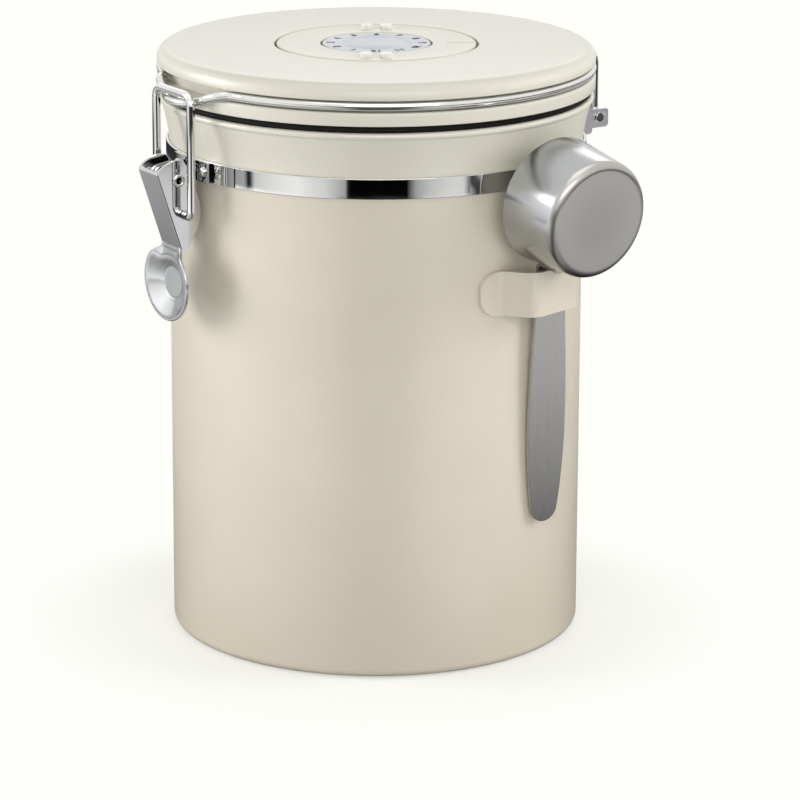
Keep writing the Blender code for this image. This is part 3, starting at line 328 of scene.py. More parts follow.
def mesh_of(curve):
    """The mesh that a curve or a piece of text draws, in place of the curve."""
    pattern = linked("pattern", curve)
    graph = bpy.context.evaluated_depsgraph_get()
    mesh = bpy.data.meshes.new_from_object(pattern.evaluated_get(graph))
    bpy.data.objects.remove(pattern, do_unlink=True)
    bpy.data.curves.remove(curve)
    mesh.materials.clear()
    return mesh


def welded(mesh, gap):
    """Close the seams of a mesh and turn its faces outwards."""
    work = bmesh.new()
    work.from_mesh(mesh)
    bmesh.ops.remove_doubles(work, verts=work.verts, dist=gap)
    bmesh.ops.recalc_face_normals(work, faces=work.faces)
    work.to_mesh(mesh)
    work.free()
    return mesh


def flat_mesh(outline, thickness, place):
    """A flat outline given its thickness and put in place by a matrix."""
    curve = bpy.data.curves.new("outline", "CURVE")
    curve.dimensions = "2D"
    curve.fill_mode = "BOTH"
    curve.extrude = thickness / 2
    chain = curve.splines.new("POLY")
    chain.points.add(len(outline) - 1)
    for spot, (u, v) in zip(chain.points, outline):
        spot.co = (u, v, 0.0, 1.0)
    chain.use_cyclic_u = True
    mesh = mesh_of(curve)
    mesh.transform(place)
    return welded(mesh, 1e-6)


def fixed_shape(obj, sharp=38.0):
    """Put an object's modifiers into its mesh and drop their helpers."""
    helpers = [step.object for step in obj.modifiers if step.type == "BOOLEAN"]
    mesh = baked(obj)
    for helper in helpers:
        bpy.data.objects.remove(helper, do_unlink=True)
    mesh.shade_smooth()
    mesh.set_sharp_from_angle(angle=math.radians(sharp))


def softened(obj, width, segments=3, angle=40.0, sharp=38.0):
    """Fix an object's shape, then break its sharp edges as tumbling does."""
    fixed_shape(obj)
    step = obj.modifiers.new("edges", "BEVEL")
    step.width = width
    step.segments = segments
    step.limit_method = "ANGLE"
    step.angle_limit = math.radians(angle)
    fixed_shape(obj, sharp)
    level_faces(obj)
    return obj


def bent_plate(inner, outer, low, high, first, last):
    """A plate bent round the neck between two azimuths, as a mesh."""
    turns = [first + (last - first) * k / 24 for k in range(25)]
    outside = [(outer * math.sin(turn), -outer * math.cos(turn)) for turn in turns]
    inside = [(x * inner / outer, y * inner / outer) for x, y in outside[::-1]]
    return flat_mesh(outside + inside, high - low, Matrix.Translation((0.0, 0.0, (low + high) / 2)))


lap_mesh = bent_plate(BAND_OUTER, BAND_OUTER + LAP_SHEET, BAND_LOW + 0.0001, BAND_HIGH - 0.0001,
                      LAP_START, LAP_END)
band_lap = show(lap_mesh, "neck_strip_lap", [bright_plate])
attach(softened(band_lap, 0.0001, 2), "canister")

# Latch bracket: a satin steel plate bent round the band, with two ears folded out for the pivot.
# Two rivets hold it to band and wall.
PLATE_INNER = 0.0612
PLATE_OUTER = 0.0622
LATCH_HALF = 0.0099
EAR_INNER = 0.0031
EAR_OUTER = 0.0043
EAR_ROUND = 0.0027
EAR_ROOT = 0.0617
PIVOT_OUT = 0.0688
PIVOT_HEIGHT = 0.1408
PIVOT_HOLE = 0.0012
EAR_TOP = 0.14475

satin_plate = brushed("satin_plate", (0.78, 0.78, 0.81), (300.0, 300.0, 4000.0), 0.30)
latch_steel = polished("latch_steel", (0.64, 0.64, 0.65), 0.03)


def combine(obj, mesh, kind="DIFFERENCE"):
    """Cut or add another mesh when the shape is fixed."""
    step = obj.modifiers.new(kind, "BOOLEAN")
    step.operation = kind
    step.solver = "EXACT"
    step.object = linked("helper", mesh)


def facing(side, across=0.0):
    """Matrix for outlines drawn as (distance out, height): side -1 is the front, 1 the back."""
    out = Vector((0.0, side, 0.0))
    up = Vector((0.0, 0.0, 1.0))
    turn = Matrix((out, up, out.cross(up))).transposed().to_4x4()
    return Matrix.Translation((across, 0.0, 0.0)) @ turn


def drill(obj, radius, half, y, z):
    """Cut a round hole along X, so far to both sides of the middle."""
    work = bmesh.new()
    bmesh.ops.create_cone(work, cap_ends=True, segments=32, radius1=radius, radius2=radius,
                          depth=2 * half)
    mesh = closed_mesh(work, "drill")
    mesh.transform(Matrix.Translation((0.0, y, z)) @ Matrix.Rotation(math.pi / 2, 4, "Y"))
    combine(obj, mesh)


latch_reach = math.asin(LATCH_HALF / PLATE_OUTER)
latch_mesh = bent_plate(PLATE_INNER, PLATE_OUTER, BAND_LOW, BAND_HIGH, -latch_reach, latch_reach)
latch_plate = show(latch_mesh, "latch_plate", [latch_steel])
ear_line = [(EAR_ROOT, EAR_TOP)] + arc(PIVOT_OUT, PIVOT_HEIGHT, EAR_ROUND, 75, -100, 16)
ear_line += [(EAR_ROOT, BAND_LOW + 0.0002)]
for side in (-1, 1):
    ear_place = facing(-1, side * (EAR_INNER + EAR_OUTER) / 2)
    combine(latch_plate, flat_mesh(ear_line, EAR_OUTER - EAR_INNER, ear_place), "UNION")
drill(latch_plate, PIVOT_HOLE, 0.012, -PIVOT_OUT, PIVOT_HEIGHT)
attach(softened(latch_plate, 0.00022, sharp=30), "canister")
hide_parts("latch_bracket")

# Rivets: bright domed heads, set cold; the pivot pin is a tubular rivet flared at both ends.
# Their shanks pass through plate, band and wall.
RIVET_RADIUS = 0.0014
RIVET_HEIGHT = 0.0008
RIVET_UNDER = 0.00025
SHANK_RADIUS = 0.0010
SHANK_LONG = 0.0013
RIVET_UP = 0.1428
LATCH_RIVET_ACROSS = 0.0072
HINGE_RIVET_ACROSS = 0.0052

dome = [math.radians(90 * step / 8) for step in range(9)]
rivet_line = [(RIVET_RADIUS * math.sin(angle), RIVET_HEIGHT * math.cos(angle)) for angle in dome]
rivet_line += [(RIVET_RADIUS * 0.97, -RIVET_UNDER), (SHANK_RADIUS, -RIVET_UNDER),
               (SHANK_RADIUS, -SHANK_LONG), (0.0, -SHANK_LONG)]
for node, side, across in (("latch_rivet_left", -1, -LATCH_RIVET_ACROSS),
                           ("latch_rivet_right", -1, LATCH_RIVET_ACROSS),
                           ("hinge_rivet_left", 1, HINGE_RIVET_ACROSS),
                           ("hinge_rivet_right", 1, -HINGE_RIVET_ACROSS)):
    head = revolve(node + "_head", rivet_line, [bright_plate], steps=32)
    seat = math.sqrt(PLATE_OUTER ** 2 - (abs(across) - RIVET_RADIUS) ** 2)
    turn = Matrix.Rotation(-side * math.pi / 2, 4, "X")
    head.data.transform(Matrix.Translation((across, side * seat, RIVET_UP)) @ turn)
    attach(head, "canister")
    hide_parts(node)

PIN_BORE = 0.0005
PIN_RADIUS = 0.0010
PIN_FLARE = 0.0019
PIN_SEAT = 0.0056
PIN_CURL = 0.0005
half_pin = [(PIN_BORE, PIN_SEAT - 0.0016), (0.00075, PIN_SEAT - 0.0006), (0.00095, PIN_SEAT + 0.0001)]
half_pin += arc(PIN_FLARE - PIN_CURL, PIN_SEAT + 0.0001, PIN_CURL, 150, 0, 10)
half_pin += [(PIN_FLARE - 0.0002, PIN_SEAT), (PIN_RADIUS, PIN_SEAT)]
pin_line = half_pin + [(r, -z) for r, z in half_pin[::-1]]
pin = revolve("pivot_pin", pin_line, [bright_plate], closed=True, steps=40)
pivot_place = Matrix.Translation((0.0, -PIVOT_OUT, PIVOT_HEIGHT))
pin.data.transform(pivot_place @ Matrix.Rotation(math.pi / 2, 4, "Y"))
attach(pin, "canister")
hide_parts("latch_pin")

# Latch lever: one plated sheet folded into a channel whose cheeks hold pivot and bail,
# run down through a neck and pressed into a round dished tab for the thumb.
LEVER_HALF = 0.0055
LEVER_SHEET = 0.0009
LEVER_FOLD = 0.0006
WEB_TOP = (0.0757, 0.1430)
WEB_FOOT = (0.0684, 0.1212)
BAIL_OUT = 0.0671
BAIL_UP = 0.1308
BAIL_WIRE = 0.0012
TAB_HALF = 0.0123
TAB_TALL = 0.0109
TAB_UP = 0.1104
TAB_RIM = 0.0704
TAB_DISH = 0.0024
TAB_FLOOR_SHARE = 0.42
TAB_WALL_SHARE = 0.96
TAB_STEP = 0.00028
NECK_HALF = 0.0052
NECK_LOW = 0.1145
NECK_HIGH = 0.1206

plated = polished("plated_lever", (0.66, 0.66, 0.67), 0.07)
plated_tab = polished("plated_tab", (0.62, 0.63, 0.64), 0.19)


def rolled(mesh, chosen, radius):
    """Round the edges whose two ends pass a test, as a bend in sheet does."""
    work = bmesh.new()
    work.from_mesh(mesh)
    edges = [edge for edge in work.edges if chosen(*[end.co for end in edge.verts])]
    bmesh.ops.bevel(work, geom=edges, offset=radius, segments=6, profile=0.5, affect="EDGES")
    work.to_mesh(mesh)
    work.free()
    return mesh


def on_fold(first, second):
    """True for an edge that runs down one side of the web."""
    if first.x * second.x < 0.0:
        return False
    end_face_shading = [Vector((-spot.y, spot.z)) for spot in (first, second)]
    corners = (Vector(WEB_TOP), Vector(WEB_FOOT))
    return all(min((end - corner).length for corner in corners) < 1e-6 for end in end_face_shading)


cheek_crown = ((24, 0.00700), (34, 0.00672), (46, 0.00630), (60, 0.00600), (75, 0.00590), (90, 0.00585))
cheek_back = [(0.0672, 0.1464), (0.0664, 0.1452), (0.0620, 0.1342), (0.0616, 0.1325), (0.0617, 0.1305),
              (0.0619, 0.1288), (0.0626, 0.1268), (0.0634, 0.1252), (0.0648, 0.1228), (0.0658, 0.1212),
              (0.0664, 0.1203)]
cheek_line = [WEB_TOP]
for degrees, reach in cheek_crown:
    turn = math.radians(degrees)
    cheek_line.append((PIVOT_OUT + reach * math.cos(turn), PIVOT_HEIGHT + reach * math.sin(turn)))
cheek_line += cheek_back + [WEB_FOOT]
lever_solid = rolled(flat_mesh(cheek_line, 2 * LEVER_HALF, facing(-1)), on_fold, LEVER_FOLD)
lever = show(lever_solid, "folded_lever", [plated])
web_run = Vector((WEB_FOOT[0] - WEB_TOP[0], WEB_FOOT[1] - WEB_TOP[1])).normalized()
web_in = Vector((web_run.y, -web_run.x)) * LEVER_SHEET
above = Vector(WEB_TOP) + web_in - web_run * 0.02
below = Vector(WEB_FOOT) + web_in + web_run * 0.01
hollow = [tuple(above), (0.0580, above.y), (0.0580, below.y), tuple(below)]
combine(lever, flat_mesh(hollow, 2 * (LEVER_HALF - LEVER_SHEET), facing(-1)))
drill(lever, PIVOT_HOLE, 0.012, -PIVOT_OUT, PIVOT_HEIGHT)
drill(lever, BAIL_WIRE + 0.0002, 0.012, -BAIL_OUT, BAIL_UP)
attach(softened(lever, 0.00028, 3, 35, 30), "lever")
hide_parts("latch_lever")


def ramped(value, low, high, curl=0.2):
    """0 to 1 between two values: a straight slope with both ends rounded."""
    share = min(max((value - low) / (high - low), 0.0), 1.0)
    if share > 0.5:
        return 1.0 - ramped(low + (high - low) * (1.0 - share), low, high, curl)
    if share < curl:
        return share * share / (2 * curl * (1 - curl))
    return (share - curl / 2) / (1 - curl)


def tab_front(across, height):
    """How far out the front of neck and tab lies."""
    share = math.hypot(across / TAB_HALF, (height - TAB_UP) / TAB_TALL)
    tab = TAB_RIM - TAB_DISH * (1.0 - ramped(share, TAB_FLOOR_SHARE, TAB_WALL_SHARE))
    tab -= TAB_STEP * (1.0 - ramped(share, TAB_FLOOR_SHARE - 0.02, TAB_FLOOR_SHARE + 0.05))
    neck = ramped(height, NECK_LOW, NECK_HIGH, 0.4) * (1.0 - ramped(abs(across), 0.0036, 0.0096, 0.4))
    return tab + (WEB_FOOT[0] - tab) * neck


TAB_RAYS = 96
TAB_RINGS = 30
tab_solid = bmesh.new()
front_rings, back_rings = [], []
for ring in range(1, TAB_RINGS + 1):
    front, back = [], []
    for ray in range(TAB_RAYS):
        angle = math.tau * (ray + 0.5) / TAB_RAYS
        side, rise = math.cos(angle), math.sin(angle)
        reach = 1.0 / math.hypot(side / TAB_HALF, rise / TAB_TALL)
        if rise > 0.5:
            reach = max(reach, min(NECK_HALF / abs(side), (WEB_FOOT[1] + 0.0002 - TAB_UP) / rise))
        across, height = reach * side * ring / TAB_RINGS, TAB_UP + reach * rise * ring / TAB_RINGS
        out = tab_front(across, height)
        front.append(tab_solid.verts.new((across, -out, height)))
        back.append(tab_solid.verts.new((across, LEVER_SHEET - out, height)))
    front_rings.append(front)
    back_rings.append(back)
for rings, inner in ((front_rings, 0.0), (back_rings, LEVER_SHEET)):
    middle = tab_solid.verts.new((0.0, inner - tab_front(0.0, TAB_UP), TAB_UP))
    for ray in range(TAB_RAYS):
        on = (ray + 1) % TAB_RAYS
        tab_solid.faces.new([middle, rings[0][ray], rings[0][on]])
        for first, second in zip(rings, rings[1:]):
            tab_solid.faces.new([first[ray], second[ray], second[on], first[on]])
rim, back_rim = front_rings[-1], back_rings[-1]
for ray in range(TAB_RAYS):
    on = (ray + 1) % TAB_RAYS
    tab_solid.faces.new([rim[ray], back_rim[ray], back_rim[on], rim[on]])
tab = show(closed_mesh(tab_solid, "thumb_tab"), "thumb_tab", [plated_tab])
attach(softened(tab, 0.00035, 4, 60, 50), "lever")

# Latch bail: a square frame of bright wire whose ends turn in through the lever's cheeks.
# Its top bar lies over the lid wire's hook loop.
BAIL_HALF = 0.0098
BAIL_TOP = 0.16525
BAIL_CORNER = 0.0030
BAIL_TURN = 0.0018
BAIL_END = 0.0037

bright_wire = polished("bright_wire", (0.82, 0.82, 0.81), 0.04)


def wire(name, points, radius):
    """A bright wire of round section along a chain of points."""
    curve = bpy.data.curves.new(name, "CURVE")
    curve.dimensions = "3D"
    curve.bevel_depth = radius
    curve.bevel_resolution = 6
    curve.use_fill_caps = True
    chain = curve.splines.new("POLY")
    chain.points.add(len(points) - 1)
    for spot, point in zip(chain.points, points):
        spot.co = (*point, 1.0)
    return show(welded(mesh_of(curve), 1e-7), name, [bright_wire], 50)


bail_half = [(BAIL_END, BAIL_UP)]
bail_half += corner(BAIL_HALF, BAIL_UP, BAIL_TURN, -90, 0, 10)
bail_half += corner(BAIL_HALF, BAIL_TOP, BAIL_CORNER, 0, 90, 12)
bail_line = [(t, -BAIL_OUT, z) for t, z in bail_half + [(-t, z) for t, z in bail_half[::-1]]]
bail = wire("bail_wire", bail_line, BAIL_WIRE)
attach(bail, "bail")
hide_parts("latch_bail")

# Hinge bracket: the latch bracket's wider fellow behind. Its two ears stand either side of the
# wire's legs and end in narrower lugs that are drilled for the wire's turned ends.
HINGE_HALF = 0.0142
HINGE_LOW = 0.1407
HINGE_HIGH = 0.1494
HINGE_OUT = 0.0697
HINGE_UP = 0.1457
HINGE_EAR_INNER = 0.0117
HINGE_EAR_OUTER = 0.0129
HINGE_ROOT = 0.0603
HINGE_SHOULDER = 0.0674
SHOULDER_ROUND = 0.0012
LUG_END = 0.0731
LUG_LOW = 0.1426
LUG_HIGH = 0.1482
LUG_ROUND = 0.0012
LID_WIRE = 0.0013

hinge_reach = math.asin(HINGE_HALF / PLATE_OUTER)
hinge_mesh = bent_plate(PLATE_INNER, PLATE_OUTER, HINGE_LOW, HINGE_HIGH,
                        math.pi - hinge_reach, math.pi + hinge_reach)
hinge_plate = show(hinge_mesh, "hinge_plate", [satin_plate])
ear_top, ear_foot = HINGE_HIGH - 0.0002, HINGE_LOW + 0.0002
lug_line = [(HINGE_ROOT, ear_top)] + corner(HINGE_SHOULDER, ear_top, SHOULDER_ROUND, 90, 0)
lug_line += [(HINGE_SHOULDER, LUG_HIGH)] + corner(LUG_END, LUG_HIGH, LUG_ROUND, 90, 0)
lug_line += corner(LUG_END, LUG_LOW, LUG_ROUND, 0, -90) + [(HINGE_SHOULDER, LUG_LOW)]
lug_line += corner(HINGE_SHOULDER, ear_foot, SHOULDER_ROUND, 0, -90) + [(HINGE_ROOT, ear_foot)]
for side in (-1, 1):
    lug_place = facing(1, side * (HINGE_EAR_INNER + HINGE_EAR_OUTER) / 2)
    combine(hinge_plate, flat_mesh(lug_line, HINGE_EAR_OUTER - HINGE_EAR_INNER, lug_place), "UNION")
drill(hinge_plate, LID_WIRE + 0.0002, 0.016, HINGE_OUT, HINGE_UP)
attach(softened(hinge_plate, 0.00022, sharp=30), "canister")
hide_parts("hinge_bracket")

# Scoop hook: a strap of the vessel's own sheet, bent proud of the wall, spot welded and
# coated with it.
HOOK_AZIMUTH = math.radians(107)
STRAP_SHEET = 0.0012
STRAP_LOW = 0.1042
STRAP_HIGH = 0.1170
STRAP_REACH = math.radians(20.5)
STRAP_FOOT = 0.0136
STRAP_CREST_HALF = 0.0093
STRAP_CREST = 0.0685
STRAP_ROUND = 0.0060
STRAP_BEND = 0.0040
STRAP_INNER = 0.0601


def rounded(points, radius):
    """A chain of plan points with its inner corners rounded."""
    made = [points[0]]
    for before, here, after in zip(points, points[1:], points[2:]):
        here = Vector(here)
        back, on = Vector(before) - here, Vector(after) - here
        turn = math.pi - back.angle(on)
        cut = min(radius * math.tan(turn / 2), 0.45 * back.length, 0.45 * on.length)
        start, stop = here + back.normalized() * cut, here + on.normalized() * cut
        for share in [step / 6 for step in range(7)]:
            made.append(tuple(start * (1 - share) ** 2 + here * 2 * share * (1 - share)
                              + stop * share ** 2))
    made.append(points[-1])
    return made


strap_half = [(t, math.sqrt(STRAP_INNER ** 2 - t * t)) for t in (0.0210, 0.0197, 0.0184, STRAP_FOOT)]
strap_half.append((STRAP_CREST_HALF, STRAP_CREST - STRAP_SHEET))
strap_line = rounded(strap_half + [(-t, n) for t, n in strap_half[::-1]], STRAP_BEND)
strap_outer = []
strap_next = strap_line[1:] + strap_line[-1:]
for before, here, after in zip(strap_line[:1] + strap_line, strap_line, strap_next):
    run = Vector(after) - Vector(before)
    out = Vector((run.y, -run.x)).normalized()
    out = out if out.y > 0 else -out
    strap_outer.append(tuple(Vector(here) + out * STRAP_SHEET))
strap_middle = Matrix.Translation((0.0, 0.0, (STRAP_LOW + STRAP_HIGH) / 2))
strap_out = Vector((math.sin(HOOK_AZIMUTH), -math.cos(HOOK_AZIMUTH), 0.0))
strap_up = Vector((0.0, 0.0, 1.0))
strap_turn = Matrix((strap_up.cross(strap_out), strap_up, strap_out)).transposed().to_4x4()
strap_plan = strap_middle @ strap_turn @ Matrix.Rotation(math.pi / 2, 4, "X")
strap_mesh = flat_mesh(strap_line + strap_outer[::-1], STRAP_HIGH - STRAP_LOW, strap_plan)
strap = show(strap_mesh, "scoop_strap", [cream_coat])
strap_long = (STRAP_INNER + STRAP_SHEET) * math.sin(STRAP_REACH)
strap_tall = (STRAP_HIGH - STRAP_LOW) / 2
window = corner(strap_long, strap_tall, STRAP_ROUND, 0, 90, 12)
window += [(-t, z) for t, z in window[::-1]]
window += [(t, -z) for t, z in window[::-1]]
window_place = strap_middle @ Matrix.Translation(strap_out * VESSEL_RADIUS) @ strap_turn
combine(strap, flat_mesh(window, 0.06, window_place), "INTERSECT")
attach(softened(strap, 0.00025, 3, 50, 40), "canister")
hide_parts("scoop_hook")

# Lid pan: the pressed underside of the lid. Its plug sinks into the mouth, its flange sits on
# the gasket, and the neck above the flange is the groove for the wire. Coated like the vessel.
PAN_SHEET = 0.0008
PLUG_RADIUS = 0.0560
PLUG_LOW = 0.1565
PLUG_ROUND = 0.0018
RIB_OUTER = 0.0470
RIB_INNER = 0.0444
RIB_SLOPE = 0.0006
RIB_TALL = 0.0003
LID_RADIUS = 0.0633
FLANGE_LOW = 0.1611
FLANGE_HIGH = 0.1646
FLANGE_LIP = 0.0003
LIP_INNER = 0.0625
GROOVE_WALL = 0.0606
GROOVE_ROUND = 0.0006
GROOVE_TOP = 0.1709
VALVE_HOLE = 0.0113

lid_coat = powder_coat("lid_coat", (0.650, 0.625, 0.540), (0.630, 0.605, 0.520), (0.665, 0.640, 0.556),
                       1.6)
pan_line = [(GROOVE_WALL, GROOVE_TOP)]
pan_line += corner(GROOVE_WALL, FLANGE_HIGH, GROOVE_ROUND, 180, 270, 5)
pan_line += corner(LID_RADIUS, FLANGE_HIGH, PAN_SHEET, 90, 0, 8)
pan_line += corner(LID_RADIUS, FLANGE_LOW - FLANGE_LIP, 0.0003, 0, -90, 5)
pan_line += [(LIP_INNER, FLANGE_LOW - FLANGE_LIP), (LIP_INNER, FLANGE_LOW)]
pan_line += [(PLUG_RADIUS + 0.0006, FLANGE_LOW)]
pan_line += corner(PLUG_RADIUS, FLANGE_LOW, 0.0004, 90, 180, 4)
pan_line += corner(PLUG_RADIUS, PLUG_LOW, PLUG_ROUND, 0, -90)
pan_line += [(RIB_OUTER, PLUG_LOW), (RIB_OUTER - RIB_SLOPE, PLUG_LOW + RIB_TALL),
             (RIB_INNER + RIB_SLOPE, PLUG_LOW + RIB_TALL), (RIB_INNER, PLUG_LOW),
             (0.0200, PLUG_LOW), (VALVE_HOLE, PLUG_LOW)]
plug_top = PLUG_LOW + PAN_SHEET
pan_line += [(VALVE_HOLE, plug_top), (RIB_INNER - 0.0001, plug_top),
             (RIB_INNER + RIB_SLOPE - 0.0001, plug_top + RIB_TALL),
             (RIB_OUTER - RIB_SLOPE + 0.0001, plug_top + RIB_TALL), (RIB_OUTER + 0.0001, plug_top)]
pan_line += arc(PLUG_RADIUS - PLUG_ROUND, PLUG_LOW + PLUG_ROUND, PLUG_ROUND - PAN_SHEET, -90, 0, 5)
pan_low, pan_high = FLANGE_LOW + PAN_SHEET, FLANGE_HIGH - PAN_SHEET
pan_line += [(PLUG_RADIUS - PAN_SHEET, pan_low), (LID_RADIUS - PAN_SHEET, pan_low),
             (LID_RADIUS - PAN_SHEET, pan_high), (GROOVE_WALL - PAN_SHEET, pan_high),
             (GROOVE_WALL - PAN_SHEET, GROOVE_TOP)]
pan = revolve("pressed_pan", pan_line, [lid_coat], closed=True)
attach(pan, "lid")
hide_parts("lid_pan")

# Lid gasket: a black silicone ring stretched over the plug, pinched between rim and flange.
# Its edge shows as the dark line under the lid. Nearly matte, with a little bloom.
GASKET_INNER = 0.0563
GASKET_OUTER = 0.0622
GASKET_WAIST = 0.0621
GASKET_TOP = 0.1609
GASKET_FOOT = 0.1590
GASKET_ROUND = 0.0004

black_silicone, place, feed = surface("black_silicone", 0.0, IOR=1.2)
bloom = place.noise(120.0, 3.0)
feed("Base Color", bloom.blend((0.004, 0.004, 0.004), (0.009, 0.009, 0.008)))
feed("Roughness", 0.42 + 0.22 * bloom)
feed("Normal", place.noise(1500.0, 2.0).relief(0.00002))
gasket_line = [(GASKET_INNER, GASKET_TOP)] + corner(GASKET_OUTER, GASKET_TOP, GASKET_ROUND, 90, 0, 5)
gasket_line += [(GASKET_WAIST, GASKET_TOP - 0.0007), (GASKET_WAIST, GASKET_FOOT + 0.0008)]
gasket_line += corner(GASKET_OUTER, GASKET_FOOT, GASKET_ROUND, 0, -90, 5) + [(GASKET_INNER, GASKET_FOOT)]
gasket = revolve("silicone_ring", gasket_line, [black_silicone], closed=True)
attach(gasket, "lid")
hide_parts("lid_gasket")

# Lid cover: the drawn cap with a round shoulder and a hemmed foot. The dial sits in a well
# drawn into its middle. Coated cream.
COVER_FOOT = 0.1679
COVER_ROUND = 0.0036
COVER_SHOULDER = 0.1725
COVER_TOP = 0.1728
COVER_SHEET = 0.0010
COVER_HOLE = 0.0090
HEM_INNER = 0.0612
HEM_ROUND = 0.0004
WELL = 0.0294
WELL_LIP = 0.0007
WELL_FLOOR = 0.1702

shoulder = LID_RADIUS - COVER_ROUND
brim = WELL + WELL_LIP
cover_line = [(COVER_HOLE, WELL_FLOOR), (WELL - 0.0004, WELL_FLOOR)]
cover_line += corner(WELL, COVER_TOP, WELL_LIP, 180, 90, 6)
for reach in [step / 10 for step in range(1, 10)]:
    cover_line.append((brim + (shoulder - brim) * reach,
                       COVER_TOP - (COVER_TOP - COVER_SHOULDER) * reach ** 2))
cover_line += corner(LID_RADIUS, COVER_SHOULDER, COVER_ROUND, 90, 0, 16)
cover_line += corner(LID_RADIUS, COVER_FOOT, HEM_ROUND, 0, -90, 4)
cover_line += [(HEM_INNER, COVER_FOOT), (HEM_INNER, COVER_FOOT + COVER_SHEET),
               (LID_RADIUS - COVER_SHEET, COVER_FOOT + COVER_SHEET)]
cover_line += arc(shoulder, COVER_SHOULDER - COVER_ROUND, COVER_ROUND - COVER_SHEET, 0, 90, 6)
cover_line += [(WELL + COVER_SHEET, COVER_TOP - COVER_SHEET),
               (WELL + COVER_SHEET, WELL_FLOOR - COVER_SHEET), (COVER_HOLE, WELL_FLOOR - COVER_SHEET)]
cover = revolve("drawn_cover", cover_line, [lid_coat], closed=True, steps=192)
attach(cover, "lid")
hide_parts("lid_cover")

# Lid wire: one length of bright wire laid in the lid's groove. In front it dips out into the
# loop that the bail hooks over, behind it turns down into the two hinge legs.
GROOVE_MIDDLE = 0.06215
WIRE_UP = 0.16625
HOOK_HALF = 0.0195
HOOK_DROP = 0.00385
HOOK_REACH = 0.0050
LEG_HALF = 0.0101
LEG_ROUND = 0.0048
LEG_TURN = 0.0016
LEG_END = 0.0136
hook_course = ((1.0, 0.0, 0.0), (0.92, 0.15, 0.02), (0.84, 0.41, 0.09), (0.77, 0.48, 0.19),
               (0.68, 0.53, 0.35), (0.60, 0.54, 0.50), (0.52, 0.54, 0.64), (0.44, 0.53, 0.76),
               (0.36, 0.64, 0.87), (0.28, 0.79, 0.95), (0.20, 0.90, 0.985), (0.10, 0.98, 1.0),
               (0.0, 1.0, 1.0))


def eased(points, steps):
    """A chain of points in space passed through a smooth curve."""
    made = []
    for k in range(len(points) - 1):
        before = Vector(points[max(k - 1, 0)])
        first, second = Vector(points[k]), Vector(points[k + 1])
        after = Vector(points[min(k + 2, len(points) - 1)])
        for step in range(steps):
            t = step / steps
            made.append(tuple(0.5 * ((2 * first) + (second - before) * t
                                     + (2 * before - 5 * first + 4 * second - after) * t * t
                                     + (3 * first - before - 3 * second + after) * t ** 3)))
    made.append(tuple(points[-1]))
    return made


def in_groove(azimuth):
    """The wire's middle in the lid's groove at an azimuth."""
    return (GROOVE_MIDDLE * math.sin(azimuth), -GROOVE_MIDDLE * math.cos(azimuth), WIRE_UP)


hook_line = []
for across, reach, drop in hook_course:
    t = HOOK_HALF * across
    rho = GROOVE_MIDDLE + HOOK_REACH * reach
    hook_line.append((t, -math.sqrt(rho * rho - t * t), WIRE_UP - HOOK_DROP * drop))
hook_start = math.asin(HOOK_HALF / GROOVE_MIDDLE)
for step in range(1, 4):
    hook_line.insert(0, in_groove(hook_start + 0.04 * step))
mirror_hook = [(-x, y, z) for x, y, z in hook_line[:-1]]
half_wire = [Vector(point) for point in eased(hook_line + mirror_hook[::-1], 6)]
for _ in range(12):
    half_wire = [half_wire[0]] + [(before + 2 * here + after) / 4 for before, here, after
                                  in zip(half_wire, half_wire[1:], half_wire[2:])] + [half_wire[-1]]
half_wire = half_wire[len(half_wire) // 2::-1]
ring_start = hook_start + 0.12
ring_stop = math.pi - math.asin(LEG_HALF / GROOVE_MIDDLE)
half_wire += [in_groove(ring_start + (ring_stop - ring_start) * step / 60) for step in range(1, 61)]
for out, height in corner(HINGE_OUT, WIRE_UP, LEG_ROUND, 90, 0, 12):
    half_wire.append((LEG_HALF, out, height))
for t, height in corner(LEG_HALF, HINGE_UP, LEG_TURN, 180, 270, 10):
    half_wire.append((t, HINGE_OUT, height))
half_wire.append((LEG_END, HINGE_OUT, HINGE_UP))
whole_wire = [(-x, y, z) for x, y, z in half_wire[:0:-1]] + half_wire
lid_wire = wire("loop_wire", whole_wire, LID_WIRE)
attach(lid_wire, "lid")
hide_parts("lid_wire")

# Date ring: a moulded ring that turns in the well, with two pairs of grips for the fingers
# and one fine index line. Same cream as the lid.
RING_OUTER = 0.0288
RING_INNER = 0.01615
RING_LOW = 0.1705
RING_SHELF = 0.0138
RING_SHEET = 0.0005
RING_ROUND = 0.0006
NUB_OUT = 0.0227
NUB_APART = 0.00285
NUB_WIDE = 0.0033
NUB_LONG = 0.0048
NUB_TALL = 0.0012
NUB_AZIMUTH = math.radians(58)
INDEX_AZIMUTH = math.radians(147)
INDEX_OUT = 0.02455
INDEX_HALF = 0.0003
INDEX_INWARD = 0.0044
INDEX_OUTWARD = 0.0047
INDEX_CUT = 0.0007

ring_line = corner(RING_INNER, COVER_TOP, RING_SHEET, 180, 90, 6)
ring_line += corner(RING_OUTER, COVER_TOP, RING_ROUND, 90, 0, 6)
ring_line += [(RING_OUTER, RING_LOW), (RING_SHELF, RING_LOW),
              (RING_SHELF, RING_LOW + RING_SHEET), (RING_INNER, RING_LOW + RING_SHEET)]
grip_coat = powder_coat("grip_coat", (0.80, 0.78, 0.70), (0.76, 0.74, 0.66), (0.81, 0.79, 0.71), 1.6)
date_ring = revolve("turning_ring", ring_line, [lid_coat], closed=True, steps=128)
index_place = Matrix.Rotation(INDEX_AZIMUTH, 4, "Z") @ Matrix.Translation((0.0, -INDEX_OUT, COVER_TOP))
index_line = [(INDEX_HALF, INDEX_INWARD), (-INDEX_HALF, INDEX_INWARD),
              (-INDEX_HALF, -INDEX_OUTWARD), (INDEX_HALF, -INDEX_OUTWARD)]
